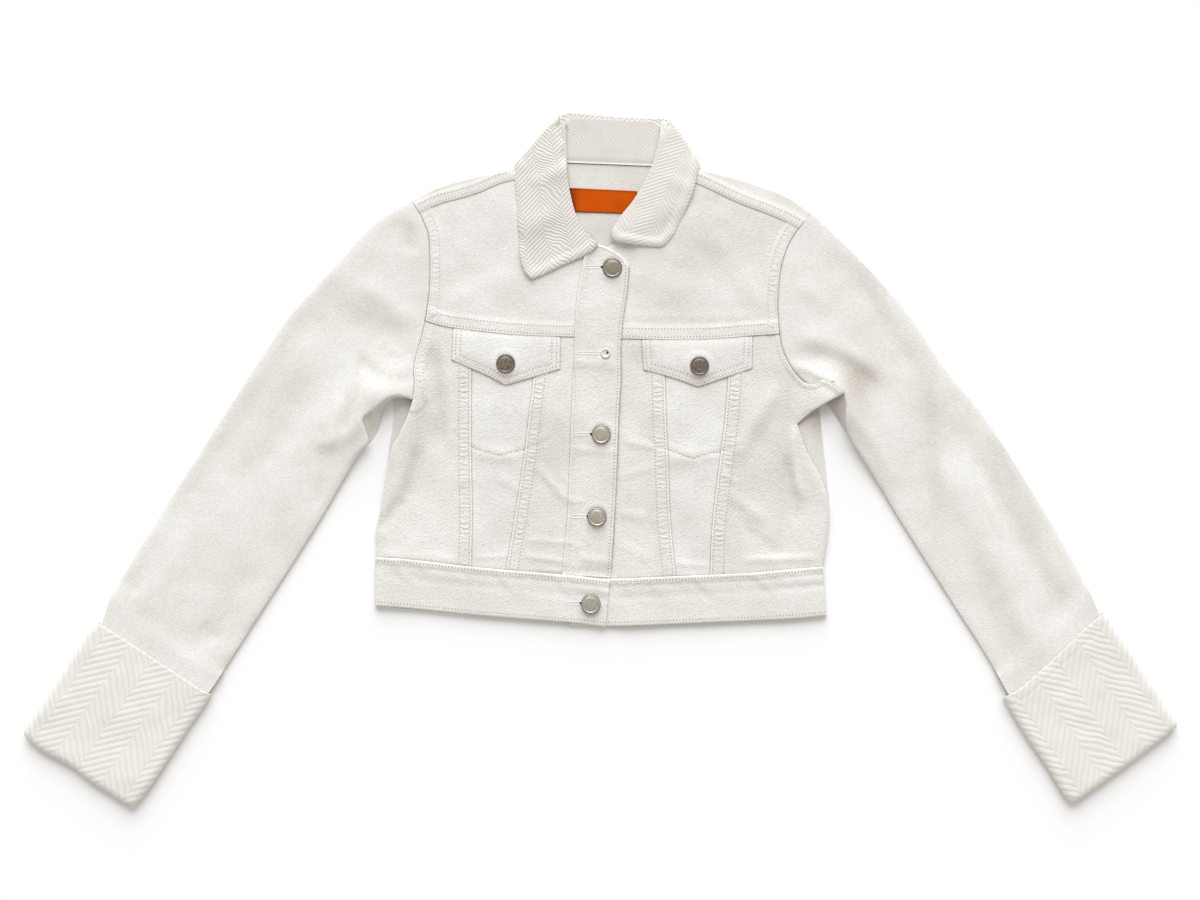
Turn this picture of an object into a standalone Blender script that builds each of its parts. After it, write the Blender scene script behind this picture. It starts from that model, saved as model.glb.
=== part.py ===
"""Cropped denim jacket laid flat on its back, front up.

The table below it is z = 0, x runs to the right of the garment as seen from above and y runs up to
its collar. All sizes here are in millimetres and are turned into metres when a mesh is made. Left
and right are as seen from above. Each sewn piece is one closed wall of cloth.
"""

import math
from collections import namedtuple

import bpy
import numpy as np
from mathutils import Vector
from mathutils.bvhtree import BVHTree

MM = 0.001

# Walls of cloth
DENIM = 1.2
BACK_DENIM = 1.3
FOLDED_DENIM = 1.9
HEAVY_CLOTH = 2.4
LABEL_CLOTH = 0.8

# Gaps and levels
SEAM_GAP = 0.36
REST_GAP = 0.35
NECK_GAP = 1.2
LIP = 2.5
LEAF_LEAST = 6.5
LEAF_AT_FOLD = 9.1
CLOTH_TOP = 5.0
EDGE_TOP = 3.1
EDGE_ROUND = 8.0
PLACKET_SINK = 1.7
PLACKET_RAMP = 10.0
BAND_TOP = 5.6
FALL_LIFT = HEAVY_CLOTH + REST_GAP
CUFF_TOP = 9.4
CUFF_NOSE = 1.3
CURVE_STEPS = 12
BEND_STEPS = 4

# Where the back of the collar starts to lift the cloth over it, and over what length
LIFT_LEFT = -102.0
LIFT_RIGHT = 112.0
LIFT_LOW = 218.0
LIFT_RAMP = 12.0
LIFT_RAMP_UP = 14.0

# Shares of the placket's stitched line at which the pieces beside it begin and end
LINE_AT_YOKE_LEFT = 0.258
LINE_AT_YOKE_RIGHT = 0.262
LINE_BELOW_TOP = 0.02
LINE_BELOW_YOKE = 0.266
LINE_AT_BAND = 0.985

# Waistband
BAND_EDGE_TOP = 4.4
BAND_END_RIGHT = 209.0
BAND_END_LEFT = -209.5
BAND_SINK_END = 2.0
BAND_SINK_RAMP = 26.0

# Reach in which a piece that lies on others looks for their highest point
PLACKET_REACH = 4.0
FLAP_REACH = 6.0
COLLAR_REACH = 9.0
BAND_REACH = 9.0
LABEL_REACH = 3.0

# Collar stand
STAND_WALL = 2.0
STAND_LOW = 5.6
STAND_RISE = 1.5

# Sleeves: the edge of the flattened tube, and how it lifts and fills out inside the cuff
SLEEVE_EDGE = 2.4
SLEEVE_FOOT = 1.5
SLEEVE_LIFT_START = -24.0
SLEEVE_LIFT_RAMP = 18.0
SLEEVE_FILL = 0.9
SLEEVE_FILL_START = -30.0
SLEEVE_FILL_RAMP = 25.0
SLEEVE_CALM_END = 6.0
SLEEVE_CALM_RAMP = 40.0
SLEEVE_MIDDLE = 8

# Cuffs
CUFF_EDGE = 6.2
CUFF_ROUND = 12.0
CUFF_FOOT = 1.6
CUFF_HALF = 3.0

Crease = namedtuple("Crease", "x0 y0 x1 y1 bend width height")
Button = namedtuple("Button", "name x y radius height carriers")

# Seams and edges: x, y of points along each, joined by smooth curves
SHOULDER_FOLD = {
    "left": (
        (-175.3, 241.3), (-149, 254.8), (-121, 262.7), (-95, 268.8), (-84, 268.6), (-74, 268.6),
        (-60, 272), (-46, 279.2),
    ),
    "right": (
        (195.8, 230.6), (171, 246.2), (139, 258.5), (111, 266), (98, 268.4), (87, 269.6), (76, 271.5),
        (63, 276.4),
    ),
}
SHOULDER_SEAM = {
    "left": (
        (-167.9, 230.2), (-149.3, 238.6), (-130.7, 243.4), (-112, 249.2), (-93.5, 257), (-79.5, 260.5),
        (-64, 263), (-49, 269),
    ),
    "right": (
        (184, 215.5), (171, 222.5), (152, 230.5), (134, 237), (116, 245), (97, 254), (82, 260),
        (66, 267),
    ),
}
BACK_NECK = ((-46, 281), (-40, 277.6), (-31, 276.2), (8, 274.6), (47, 273.2), (57, 275.2), (63, 278.8))
BACK_YOKE_SEAM = ((-160.4, 148.8), (-80, 146), (2, 145), (84, 146), (164.6, 148.8))
NECKLINE = {
    "left": ((-49, 269), (-43, 252), (-36, 235), (-28, 218.6), (-20, 206), (-14, 197)),
    "right": ((66, 267), (58.5, 251), (47, 233), (34, 217), (18, 204.6), (2, 196.5), (-14, 189)),
}
ARMHOLE_STRIP = {
    "left": ((-175.3, 241.3), (-167.9, 230.2)),
    "right": ((195.8, 230.6), (184, 215.5)),
}
ARMHOLE_YOKE = {
    "left": (
        (-167.9, 230.2), (-164, 221), (-159.5, 209), (-158.4, 190), (-158.6, 162.8), (-160.2, 146),
        (-162.8, 129.3),
    ),
    "right": (
        (184, 215.5), (178, 206.5), (173.4, 197.2), (167.8, 180), (165, 158), (164.6, 140),
        (166, 117.2),
    ),
}
ARMHOLE_SIDE = {
    "left": ((-162.8, 129.3), (-166.9, 111.6), (-170.7, 100), (-173.6, 84), (-172.8, 70), (-174.4, 55.8)),
    "right": (
        (166, 117.2), (169, 102), (177.2, 85.6), (188, 73), (197, 70.2), (206, 74), (216, 69.5),
        (225.5, 61.4),
    ),
}
BACK_ARMHOLE_YOKE = {
    "left": ((-175.3, 241.3), (-166, 226), (-159.8, 209), (-158.6, 190), (-158.6, 165), (-160.4, 148.8)),
    "right": ((195.8, 230.6), (182, 214), (173.4, 197.2), (167.8, 180), (165, 160), (164.6, 148.8)),
}
BACK_ARMHOLE_SIDE = {
    "left": ((-160.4, 148.8), (-163, 128), (-169, 106), (-177, 86), (-185, 72), (-192, 60)),
    "right": ((164.6, 148.8), (167.5, 128), (174, 108), (184, 89), (194, 71.5), (203, 55)),
}
YOKE_SEAM = {
    "left": (
        (-162.8, 129.3), (-144.6, 124.2), (-121.4, 120.9), (-84.2, 116.8), (-50, 115.1), (-24.3, 114.4),
    ),
    "right": (
        (-24.3, 113.6), (19, 112.8), (46, 112.1), (83, 112.1), (111, 113), (140, 115.3), (166, 117.2),
    ),
}
PLACKET_LINE = (
    (-14, 194), (-17.2, 180), (-22.2, 148.8), (-24.3, 114.4), (-25.6, 74.4), (-27.4, 37.2),
    (-29.3, -18.6), (-31.2, -55.8), (-35.8, -106.5),
)
PLACKET_TOP = ((-13, 198), (-2.3, 200.4), (9.8, 195.8), (20, 189.4), (26.3, 180))
PLACKET_EDGE = (
    (26.3, 180), (24.6, 158), (20.5, 130), (18.6, 107), (18.6, 74.4), (16.7, 40), (14.6, -18.6),
    (12.6, -55.8), (9.2, -109.5),
)
# The four long seams of the fronts, from the yoke seam to the waistband, counted from the left
PANEL_SEAM = (
    ((-120.6, 120.8), (-120, 85.6), (-120.2, 45), (-120, 0), (-119.3, -46.5), (-120, -99.2)),
    ((-60, 115.6), (-62.3, 77.2), (-66, 47), (-71, 4), (-77.2, -37.2), (-87.9, -102)),
    ((56.3, 112), (59.8, 78.1), (61, 40), (63.1, -5), (65, -55), (70, -107.9)),
    ((121.4, 113.7), (118.9, 79), (115.5, 36), (109, -15), (103.8, -62), (101.8, -106.9)),
)
FRONT_EDGE = {
    "left": (
        (-174.4, 55.8), (-179, 41.9), (-187, 25.1), (-194.8, 9.3), (-199.5, -14), (-204.1, -41.9),
        (-209, -67.9), (-208.2, -79), (-209.3, -90.2),
    ),
    "right": ((183, 33.5), (191, 10), (203, -12), (211, -33), (212.6, -53), (210.5, -77), (207, -99)),
}
UNDERARM_TURN = ((225.5, 61.4), (212, 54.5), (196, 44.5), (183, 33.5))
BACK_EDGE = {
    "left": (
        (-191.8, 59.6), (-193, 34), (-196.5, 14), (-199.5, -14), (-204.1, -41.9), (-209, -67.9),
        (-208.2, -79), (-209.3, -90.2),
    ),
    "right": ((203, 55), (207, 16), (210.3, -12), (212.4, -33), (212.6, -53), (210.5, -77), (207, -99)),
}
BAND_UPPER = {
    "left": (
        (-209.3, -90.2), (-186.5, -91.6), (-158.6, -94.4), (-121.4, -99), (-84.2, -102.3),
        (-47, -105.6), (-19, -107.9), (8.8, -111.5),
    ),
    "right": (
        (-26, -110.2), (8.8, -110.2), (36.7, -109.3), (92.5, -107), (120.4, -106), (148.3, -104.2),
        (176.2, -101.4), (207, -99),
    ),
}
BAND_LOWER = {
    "left": (
        (-209.7, -135.6), (-186.5, -137.2), (-140, -141.8), (-112, -144.6), (-65.6, -148.3),
        (-19, -152), (4.4, -155.2),
    ),
    "right": (
        (-28, -154), (5, -154.6), (46, -153.5), (101.8, -151), (157.6, -148.8), (185.5, -147.2),
        (210.4, -144.4),
    ),
}
BAND_BACK_UPPER = ((-209.3, -90.2), (-120, -99), (0, -104), (120, -103), (207, -99))
BAND_BACK_LOWER = ((-209.7, -135.6), (-120, -143.5), (0, -149), (120, -148.5), (210.4, -144.4))

SLEEVE_OUTER = {
    "left": (
        (-175.3, 241.3), (-196, 230.6), (-214.4, 216.7), (-242.3, 186), (-279.5, 146), (-299, 120.9),
        (-335.3, 65.1), (-372.5, 7.4), (-409.7, -51.2), (-446, -110.7), (-458.5, -137), (-463.6, -152),
        (-488, -191.5), (-520.5, -241),
    ),
    "right": (
        (195.8, 230.6), (222.7, 205.5), (259.9, 166.5), (287.8, 134.9), (315.7, 92.1), (352.9, 45.6),
        (390.1, -10.2), (427.3, -71.6), (453.5, -121), (465, -146), (488, -182), (522, -235.5),
    ),
}
SLEEVE_UNDER = {
    "left": (
        (-174.4, 55.8), (-182.2, 58.5), (-190.5, 59.1), (-199, 55.5), (-209, 46.8), (-219.6, 37.7),
        (-217.5, 27), (-215.5, 16), (-226.5, 2.8), (-242.3, -24.2), (-260.9, -55.8), (-279.5, -85.6),
        (-316.7, -143.2), (-352.5, -199), (-361.5, -212.5), (-366, -219), (-394.5, -260), (-425.5, -303),
    ),
    "right": (
        (225.5, 61.4), (227.5, 50), (227, 37), (231, 21), (241.3, 4.7), (259.9, -25.1), (278.5, -55.8),
        (315.7, -114.4), (352.9, -172), (370.5, -202), (379, -217), (405, -257), (430.5, -297.5),
    ),
}
SLEEVE_BACK_UNDER = {
    "left": (
        (-192, 60), (-199, 55.5), (-202.5, 47), (-205, 33), (-210.5, 22), (-226.5, 2.8), (-242.3, -24.2),
        (-260.9, -55.8), (-279.5, -85.6), (-316.7, -143.2), (-352.5, -199), (-361.5, -212.5),
        (-366, -219), (-394.5, -260), (-425.5, -303),
    ),
    "right": (
        (203, 55), (210, 46.5), (218, 35), (229, 21.5), (241.3, 4.7), (259.9, -25.1), (278.5, -55.8),
        (315.7, -114.4), (352.9, -172), (370.5, -202), (379, -217), (405, -257), (430.5, -297.5),
    ),
}
CUFF_FREE_EDGE = {
    "left": (
        (-468, -150.2), (-447, -163.5), (-428.3, -175.3), (-409.7, -187.9), (-391, -200),
        (-372.5, -212), (-361.8, -218),
    ),
    "right": ((468.4, -141.4), (446, -160), (427.3, -178.6), (408.7, -195.3), (390, -212), (374.3, -220.4)),
}
CUFF_OUTER = {
    "left": ((-468, -150.2), (-479.4, -163), (-498, -191.6), (-516.6, -221.3), (-534.6, -248.5)),
    "right": ((468.4, -141.4), (478.5, -155.3), (497, -183.2), (515.7, -212), (535.2, -243)),
}
CUFF_INNER = {
    "left": (
        (-361.8, -218), (-368, -228.5), (-381.8, -248.3), (-400.4, -277), (-419, -305),
        (-431.5, -320.6),
    ),
    "right": ((374.3, -220.4), (379, -229.7), (394.8, -255.8), (413.4, -283.7), (430, -311), (437, -318)),
}
CUFF_MOUTH = {
    "left": (
        (-534.6, -248.5), (-535, -256.5), (-521.3, -269), (-493.4, -284.6), (-474.8, -298.5),
        (-456.2, -310.6), (-438, -321.7), (-431.5, -320.6),
    ),
    "right": (
        (535.2, -243), (534.5, -249), (520.3, -261.3), (501.7, -275.3), (483, -289.2), (464.5, -302.3),
        (444, -316.8), (437, -318),
    ),
}

# The collar: v = 0 is the roll at the neck and v = 1 the outer edge
LEAF_ROLL = {
    "left": (
        (-2.3, 199.5), (-13, 212), (-22, 226), (-27.5, 245), (-31.2, 265), (-33.2, 290), (-35, 310),
        (-40.5, 318),
    ),
    "right": (
        (8, 209.5), (17, 224.5), (31, 242), (41.5, 260.5), (49.5, 279), (55, 302), (57, 314),
        (64.6, 314.5),
    ),
}
LEAF_OUTER = {
    "left": (
        (-64.5, 168), (-70.5, 175), (-74.5, 188), (-76.3, 210), (-78.4, 235), (-79.8, 255),
        (-79.5, 273),
    ),
    "right": ((66, 205), (74.5, 221), (84, 243), (88.5, 258), (90.5, 268), (91.6, 275)),
}
LEAF_FRONT = {
    "left": ((-2.3, 199.5), (-8, 193.5), (-19, 187.4), (-37.7, 179.5), (-54, 171.5), (-64.5, 168)),
    "right": ((8, 209.5), (14, 203), (30, 200), (47, 198), (58, 198.5), (66, 205)),
}
FALL_FOLD = {
    "left": ((-40.5, 318), (-56.3, 300.4), (-74.9, 279.5), (-79.5, 273)),
    "right": ((64.6, 314.5), (75.8, 299.5), (87.9, 282), (91.6, 275)),
}
FALL_ROLL = (
    (-40.5, 318), (-34, 321.8), (-26.5, 322.7), (0, 320.2), (36.7, 318), (57, 317.5), (64.6, 314.5),
)
FALL_BACK_EDGE = ((-79.5, 273), (-68, 256), (-30, 248.5), (5, 247), (42, 248.5), (80, 257), (91.6, 275))
STAND_ROLL = ((-32.5, 314), (-25, 317), (0, 316.4), (36.7, 314.4), (50, 313.2), (56.5, 310))
STAND_FOLD = {
    "left": ((-32.5, 314), (-39.5, 298), (-46, 281)),
    "right": ((56.5, 310), (60.5, 294), (63, 278.8)),
}
ARM_ROLL = {
    "left": ((-11, 209), (-18, 219), (-25, 232), (-29, 250), (-31, 275), (-32, 300), (-32.5, 314)),
    "right": ((13, 211), (21, 222), (34, 240), (44, 259), (51, 278), (55, 299), (56.5, 310)),
}
ARM_SEAM = {
    "left": NECKLINE["left"][4::-1] + BACK_NECK[:1],
    "right": NECKLINE["right"][4::-1] + BACK_NECK[-1:],
}
FLAP_EDGES = {
    "left": dict(
        top=((-136.7, 122.6), (-98, 117.8), (-70, 115.8), (-37.7, 114.6)),
        side=((-136.7, 122.6), (-138, 93)),
        other=((-37.7, 114.6), (-38.1, 84.6)),
        point=((-138, 93), (-121.4, 85.6), (-105, 78.4), (-88.5, 69.6), (-60.9, 77.5), (-38.1, 84.6)),
    ),
    "right": dict(
        top=((38.5, 111.8), (70, 112), (105, 112.6), (141, 114.9)),
        side=((38.5, 111.8), (40.5, 83.7)),
        other=((141, 114.9), (140.4, 85.1)),
        point=((40.5, 83.7), (60, 78.6), (76, 73.5), (90.8, 68.1), (108, 74), (140.4, 85.1)),
    ),
}
# Place of a flap's tip among the points of its lower edge
FLAP_TIP = 3
LABEL_CORNERS = ((-29, 253), (34, 250), (34, 228.5), (-24, 230.5))

CREASES = (
    Crease(190, 100, 260, 65, 7, 8, -1.9),
    Crease(186, 113, 251, 86, 6, 9, 1.3),
    Crease(180, 87, 226, 62, 4, 5, 1.6),
    Crease(302, 74, 316, -93, 5, 15, -1.3),
    Crease(358, 28, 409, -93, 4, 16, -1.1),
    Crease(362, -102, 390, -205, -4, 12, -1.1),
    Crease(334, 19, 404, -167, -5, 16, 1.4),
    Crease(214, 190, 262, 120, 6, 14, -1.0),
    Crease(232, 40, 272, -20, 4, 8, 1.2),
    Crease(-177, 219, -180, 195, 2, 5, -0.9),
    Crease(-261, 158, -187, 121, -6, 16, -1.1),
    Crease(-218, 40, -262, 14, 5, 8, 1.7),
    Crease(-178, 74, -222, 92, 5, 7, -1.4),
    Crease(-280, 74, -335, -19, 6, 16, -1.1),
    Crease(-252, 40, -300, -50, -6, 14, 1.2),
    Crease(-326, -93, -382, -177, 5, 14, -1.0),
    Crease(-372, -60, -425, -140, -4, 14, 0.9),
    Crease(-163, 56, -187, -56, 5, 9, -1.4),
    Crease(-174, 50, -196, -40, 3, 6, 0.8),
    Crease(180, 28, 187, -33, -3, 5, 1.4),
    Crease(171, 65, 167, -74, 4, 9, -1.3),
    Crease(-140, 172, -70, 150, 5, 18, -0.6),
    Crease(60, 176, 140, 150, -5, 18, 0.6),
    Crease(-45, 20, -50, -70, 3, 7, 0.6),
    Crease(44, 30, 48, -80, -3, 7, -0.6),
)

BUTTONS = (
    Button("button_1", 11.0, 178.7, 9.0, 3.0, ("placket",)),
    Button("button_2", 4.8, 99.2, 4.7, 2.0, ("placket",)),
    Button("button_3", 0.7, 24.0, 8.7, 3.0, ("placket",)),
    Button("button_4", -3.3, -52.7, 8.7, 3.0, ("placket",)),
    Button("button_waist", -9.0, -133.6, 9.0, 3.0, ("waistband_left",)),
    Button("button_flap_left", -88.1, 89.6, 8.7, 3.0, ("flap_left",)),
    Button("button_flap_right", 92.0, 87.4, 8.7, 3.0, ("flap_right",)),
)
# Share of a button's radius and of its height, from the middle of its back to the middle of its face
BUTTON_PROFILE = (
    (0.0, 0.0), (0.7, 0.0), (1.0, 0.4), (0.97, 0.82), (0.86, 1.0), (0.72, 0.9), (0.6, 0.62), (0.0, 0.7),
)
BUTTON_SIDES = 14

COLOURS = {
    "denim": (0.80, 0.785, 0.75, 0.9, 0.0),
    "herringbone": (0.77, 0.74, 0.68, 0.95, 0.0),
    "label": (0.60, 0.11, 0.01, 0.7, 0.0),
    "metal": (0.30, 0.26, 0.21, 0.35, 1.0),
    "white_plastic": (0.82, 0.80, 0.76, 0.4, 0.0),
}

solids = {}


# ---------------------------------------------------------------- curves and grids


def evenly(count):
    """Fractions of a length at even steps."""
    return np.linspace(0.0, 1.0, count + 1)


def smooth_line(knots):
    """Fine points along a Catmull-Rom curve through the knots."""
    knots = np.array(knots, float)
    if len(knots) == 2:
        return knots
    padded = np.vstack([2 * knots[0] - knots[1], knots, 2 * knots[-1] - knots[-2]])
    steps = np.linspace(0.0, 1.0, CURVE_STEPS, endpoint=False)[:, None]
    runs = []
    for before, start, end, after in zip(padded, padded[1:], padded[2:], padded[3:]):
        linear = (end - before) * steps
        square = (2 * before - 5 * start + 4 * end - after) * steps**2
        cube = (3 * start - before - 3 * end + after) * steps**3
        runs.append(0.5 * (2 * start + linear + square + cube))
    return np.vstack(runs + [knots[-1:]])


def lengths_along(line):
    """Distance of each point from the first, along the line."""
    return np.concatenate([[0.0], np.cumsum(np.linalg.norm(np.diff(line, axis=0), axis=1))])


def sampled(knots, fractions):
    """Points at fractions of the length of the curve through the knots."""
    line = smooth_line(knots)
    along = lengths_along(line)
    wanted = np.asarray(fractions) * along[-1]
    return np.stack([np.interp(wanted, along, line[:, axis]) for axis in range(line.shape[1])], 1)


def joined(*lines):
    """Lines that meet end to end, as one."""
    return np.vstack([lines[0]] + [line[1:] for line in lines[1:]])


def patch(first, last, start, end):
    """Grid between four edges: first and last run along its columns, start and end along its rows."""
    across = 0.5 * (shares(first) + shares(last))[None, :, None]
    down = 0.5 * (shares(start) + shares(end))[:, None, None]
    rows = (1 - down) * first[None] + down * last[None]
    columns = (1 - across) * start[:, None] + across * end[:, None]
    near = (1 - across) * first[0] + across * first[-1]
    far = (1 - across) * last[0] + across * last[-1]
    return rows + columns - ((1 - down) * near + down * far)


def shares(line):
    """Share of the line's length at each of its points."""
    along = lengths_along(line)
    return along / along[-1]


def inward(line, beside, gap):
    """Steps that move the points of a line sideways by the gap, towards the line beside it."""
    run = np.gradient(line, axis=0)
    sideways = np.stack([-run[:, 1], run[:, 0]], 1)
    sideways /= np.linalg.norm(sideways, axis=1)[:, None]
    towards = np.sign(np.sum((beside - line) * sideways, axis=1))[:, None]
    return sideways * towards * gap


def inset(grid, sides="first last start end", gap=SEAM_GAP / 2):
    """The grid with the named sides pulled in by the gap."""
    moved = grid.copy()
    if "first" in sides:
        moved[0] += inward(grid[0], grid[1], gap)
    if "last" in sides:
        moved[-1] += inward(grid[-1], grid[-2], gap)
    if "start" in sides:
        moved[:, 0] += inward(grid[:, 0], grid[:, 1], gap)
    if "end" in sides:
        moved[:, -1] += inward(grid[:, -1], grid[:, -2], gap)
    return moved


# ---------------------------------------------------------------- heights


def soft_step(value):
    """Smooth rise from 0 at 0 to 1 at 1."""
    value = np.clip(value, 0.0, 1.0)
    return value * value * (3 - 2 * value)


def crease_height(x, y):
    """Sum of the hand-placed ridges and troughs."""
    total = np.zeros_like(x)
    for crease in CREASES:
        run = np.array([crease.x1 - crease.x0, crease.y1 - crease.y0])
        length = np.linalg.norm(run)
        run = run / length
        along = (x - crease.x0) * run[0] + (y - crease.y0) * run[1]
        beside = (y - crease.y0) * run[0] - (x - crease.x0) * run[1]
        share = along / length
        bowed = beside - crease.bend * 4 * share * (1 - share)
        fade = soft_step(share * 3 + 0.5) * soft_step((1 - share) * 3 + 0.5)
        total += crease.height * fade * np.exp(-((bowed / crease.width) ** 2))
    return total


def fall_lift(x, y):
    """How far the back of the collar lifts what lies over it."""
    sides = soft_step((x - LIFT_LEFT) / LIFT_RAMP) * soft_step((LIFT_RIGHT - x) / LIFT_RAMP)
    return FALL_LIFT * sides * soft_step((y - LIFT_LOW) / LIFT_RAMP_UP)


def cloth_top(x, y):
    """Upper face of the fronts and sleeves, away from their edges."""
    return CLOTH_TOP + crease_height(x, y) + fall_lift(x, y)


def distance_to(line, x, y):
    """Least distance from each point to a line."""
    points = np.stack([x, y], -1)[..., None, :]
    start = line[:-1]
    run = line[1:] - start
    share = np.sum((points - start) * run, -1) / np.sum(run * run, -1)
    foot = start + np.clip(share, 0, 1)[..., None] * run
    return np.min(np.linalg.norm(points - foot, axis=-1), axis=-1)


def rounded(distance, middle, edge, reach=EDGE_ROUND):
    """Height that falls in a round from middle to edge as the distance goes to nothing."""
    share = np.clip(distance / reach, 0, 1)
    return edge + (middle - edge) * np.sqrt(1 - (1 - share) ** 2)


def placket_sink(x, y):
    """How far the right front is pressed down under the placket."""
    line = smooth_line(PLACKET_LINE)
    edge = smooth_line(PLACKET_EDGE)
    left = np.interp(-y, -line[:, 1], line[:, 0])
    right = np.interp(-y, -edge[:, 1], edge[:, 0])
    past_left = soft_step((x - left + PLACKET_RAMP) / PLACKET_RAMP)
    before_right = soft_step((right + PLACKET_RAMP - x) / PLACKET_RAMP)
    return PLACKET_SINK * past_left * before_right


def ground(x, y, carriers, reach):
    """Highest point of the carriers at and around each place, and nothing below the table."""
    trees = [solids[name]["tree"] for name in carriers]
    offsets = [(0.0, 0.0)]
    for ring in (0.5, 1.0):
        for step in range(8):
            turn = step * math.pi / 4
            offsets.append((ring * reach * math.cos(turn), ring * reach * math.sin(turn)))
    heights = np.zeros_like(x)
    for place in np.ndindex(x.shape):
        for dx, dy in offsets:
            above = Vector((x[place] + dx, y[place] + dy, 100.0))
            for tree in trees:
                hit = tree.ray_cast(above, Vector((0, 0, -1)))[0]
                if hit is not None:
                    heights[place] = max(heights[place], hit.z)
    return heights


# ---------------------------------------------------------------- solids


def add_solid(name, points, faces, material):
    """Keeps a closed mesh with its faces turned outwards."""
    points = np.asarray(points, float)
    volume = 0.0
    for face in faces:
        a = points[face[0]]
        for b, c in zip(face[1:], face[2:]):
            volume += np.dot(a, np.cross(points[b], points[c]))
    if volume < 0:
        faces = [tuple(reversed(face)) for face in faces]
    tree = BVHTree.FromPolygons([tuple(p) for p in points], faces, all_triangles=False)
    solids[name] = dict(points=points, faces=faces, material=material, tree=tree)


def wall_between(name, lower, upper, material, cells=None):
    """Closed wall between two grids of the same size, over the cells that are kept."""
    rows, columns = lower.shape[:2]
    if cells is None:
        cells = np.ones((rows - 1, columns - 1), bool)
    used = {}
    points = []

    def corner(layer, i, j):
        key = (layer, i, j)
        if key not in used:
            used[key] = len(points)
            points.append((lower, upper)[layer][i, j])
        return used[key]

    faces = []
    rim = {}
    for i, j in zip(*np.nonzero(cells)):
        loop = [(i, j), (i + 1, j), (i + 1, j + 1), (i, j + 1)]
        faces.append(tuple(corner(1, *place) for place in loop))
        faces.append(tuple(corner(0, *place) for place in reversed(loop)))
        for start, end in zip(loop, loop[1:] + loop[:1]):
            if (end, start) in rim:
                del rim[(end, start)]
            else:
                rim[(start, end)] = True
    for start, end in rim:
        faces.append((corner(0, *start), corner(0, *end), corner(1, *end), corner(1, *start)))
    add_solid(name, points, faces, material)


def lay_sheet(name, grid, top, wall, material):
    """A piece that lies flat: its grid seen from above, its upper height and its wall."""
    upper = np.dstack([grid, top])
    lower = np.dstack([grid, top - wall])
    wall_between(name, lower, upper, material)


def grid_normals(middle):
    """Unit normals of a grid of points in space."""
    down = np.gradient(middle, axis=0)
    across = np.gradient(middle, axis=1)
    normal = np.cross(down, across)
    return normal / np.linalg.norm(normal, axis=2)[..., None]


def thicken(name, middle, wall, material, cells=None):
    """A piece that bends over itself, from the middle of its wall."""
    normal = grid_normals(middle) * wall / 2
    wall_between(name, middle - normal, middle + normal, material, cells)


def bend_rows(fold, upper_height, lower_height, outward):
    """Rows round a fold: from the upper layer, over the outermost line, to the lower layer."""
    radius = (upper_height - lower_height) / 2
    centre = (upper_height + lower_height) / 2
    rows = []
    for step in range(BEND_STEPS + 1):
        turn = math.pi / 2 - math.pi * step / BEND_STEPS
        place = fold + outward * (radius * (math.cos(turn) - 1))[:, None]
        rows.append(np.column_stack([place, centre + radius * math.sin(turn)]))
    return np.stack(rows)


def outward_of(line, inside):
    """Unit sideways directions of a line, away from a point inside."""
    run = np.gradient(line, axis=0)
    sideways = np.stack([-run[:, 1], run[:, 0]], 1)
    sideways /= np.linalg.norm(sideways, axis=1)[:, None]
    away = np.sign(np.sum((line - np.array(inside)) * sideways, axis=1))[:, None]
    return sideways * away


def with_lips(row):
    """The points of a row with one more close to each end, where the cloth turns over."""
    along = lengths_along(row)
    wanted = np.concatenate([[0.0, LIP], along[1:-1], [along[-1] - LIP, along[-1]]])
    wanted = np.sort(wanted)
    return np.stack([np.interp(wanted, along, row[:, axis]) for axis in range(2)], 1)


def squeezed(row, margin):
    """The points of a row moved along it, so that both its ends lie in by the margin."""
    along = lengths_along(row)
    wanted = margin + along * (1 - 2 * margin / along[-1])
    return np.stack([np.interp(wanted, along, row[:, axis]) for axis in range(2)], 1)


def tube_ring(upper_row, lower_row, top, floor, edge, inset_by, wall):
    """One closed loop of a flattened tube. With an inset it is the loop of the inner face."""
    if inset_by:
        upper_row = squeezed(upper_row, inset_by)
        lower_row = squeezed(lower_row, inset_by)
    low = np.full(len(lower_row), floor + wall)
    high = top - wall
    if not inset_by:
        low[0] = low[-1] = floor + edge
    under = np.column_stack([lower_row, low])
    over = np.column_stack([upper_row, high])
    return np.vstack([under, over[::-1]])


def tube_from_rings(name, outer, inner, material):
    """Closed wall of a tube that is open at both ends."""
    count = len(outer[0])
    points = np.vstack(outer + inner[::-1])
    loops = len(outer) + len(inner)
    faces = []
    for loop in range(loops):
        after = (loop + 1) % loops
        for k in range(count):
            nxt = (k + 1) % count
            faces.append((loop * count + k, loop * count + nxt, after * count + nxt, after * count + k))
    add_solid(name, points, faces, material)


# ---------------------------------------------------------------- the back


def shorten(line, end, beside, gap):
    """Moves one end of a line towards the point beside it."""
    run = line[beside] - line[end]
    line[end] += run / np.linalg.norm(run) * gap


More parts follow.
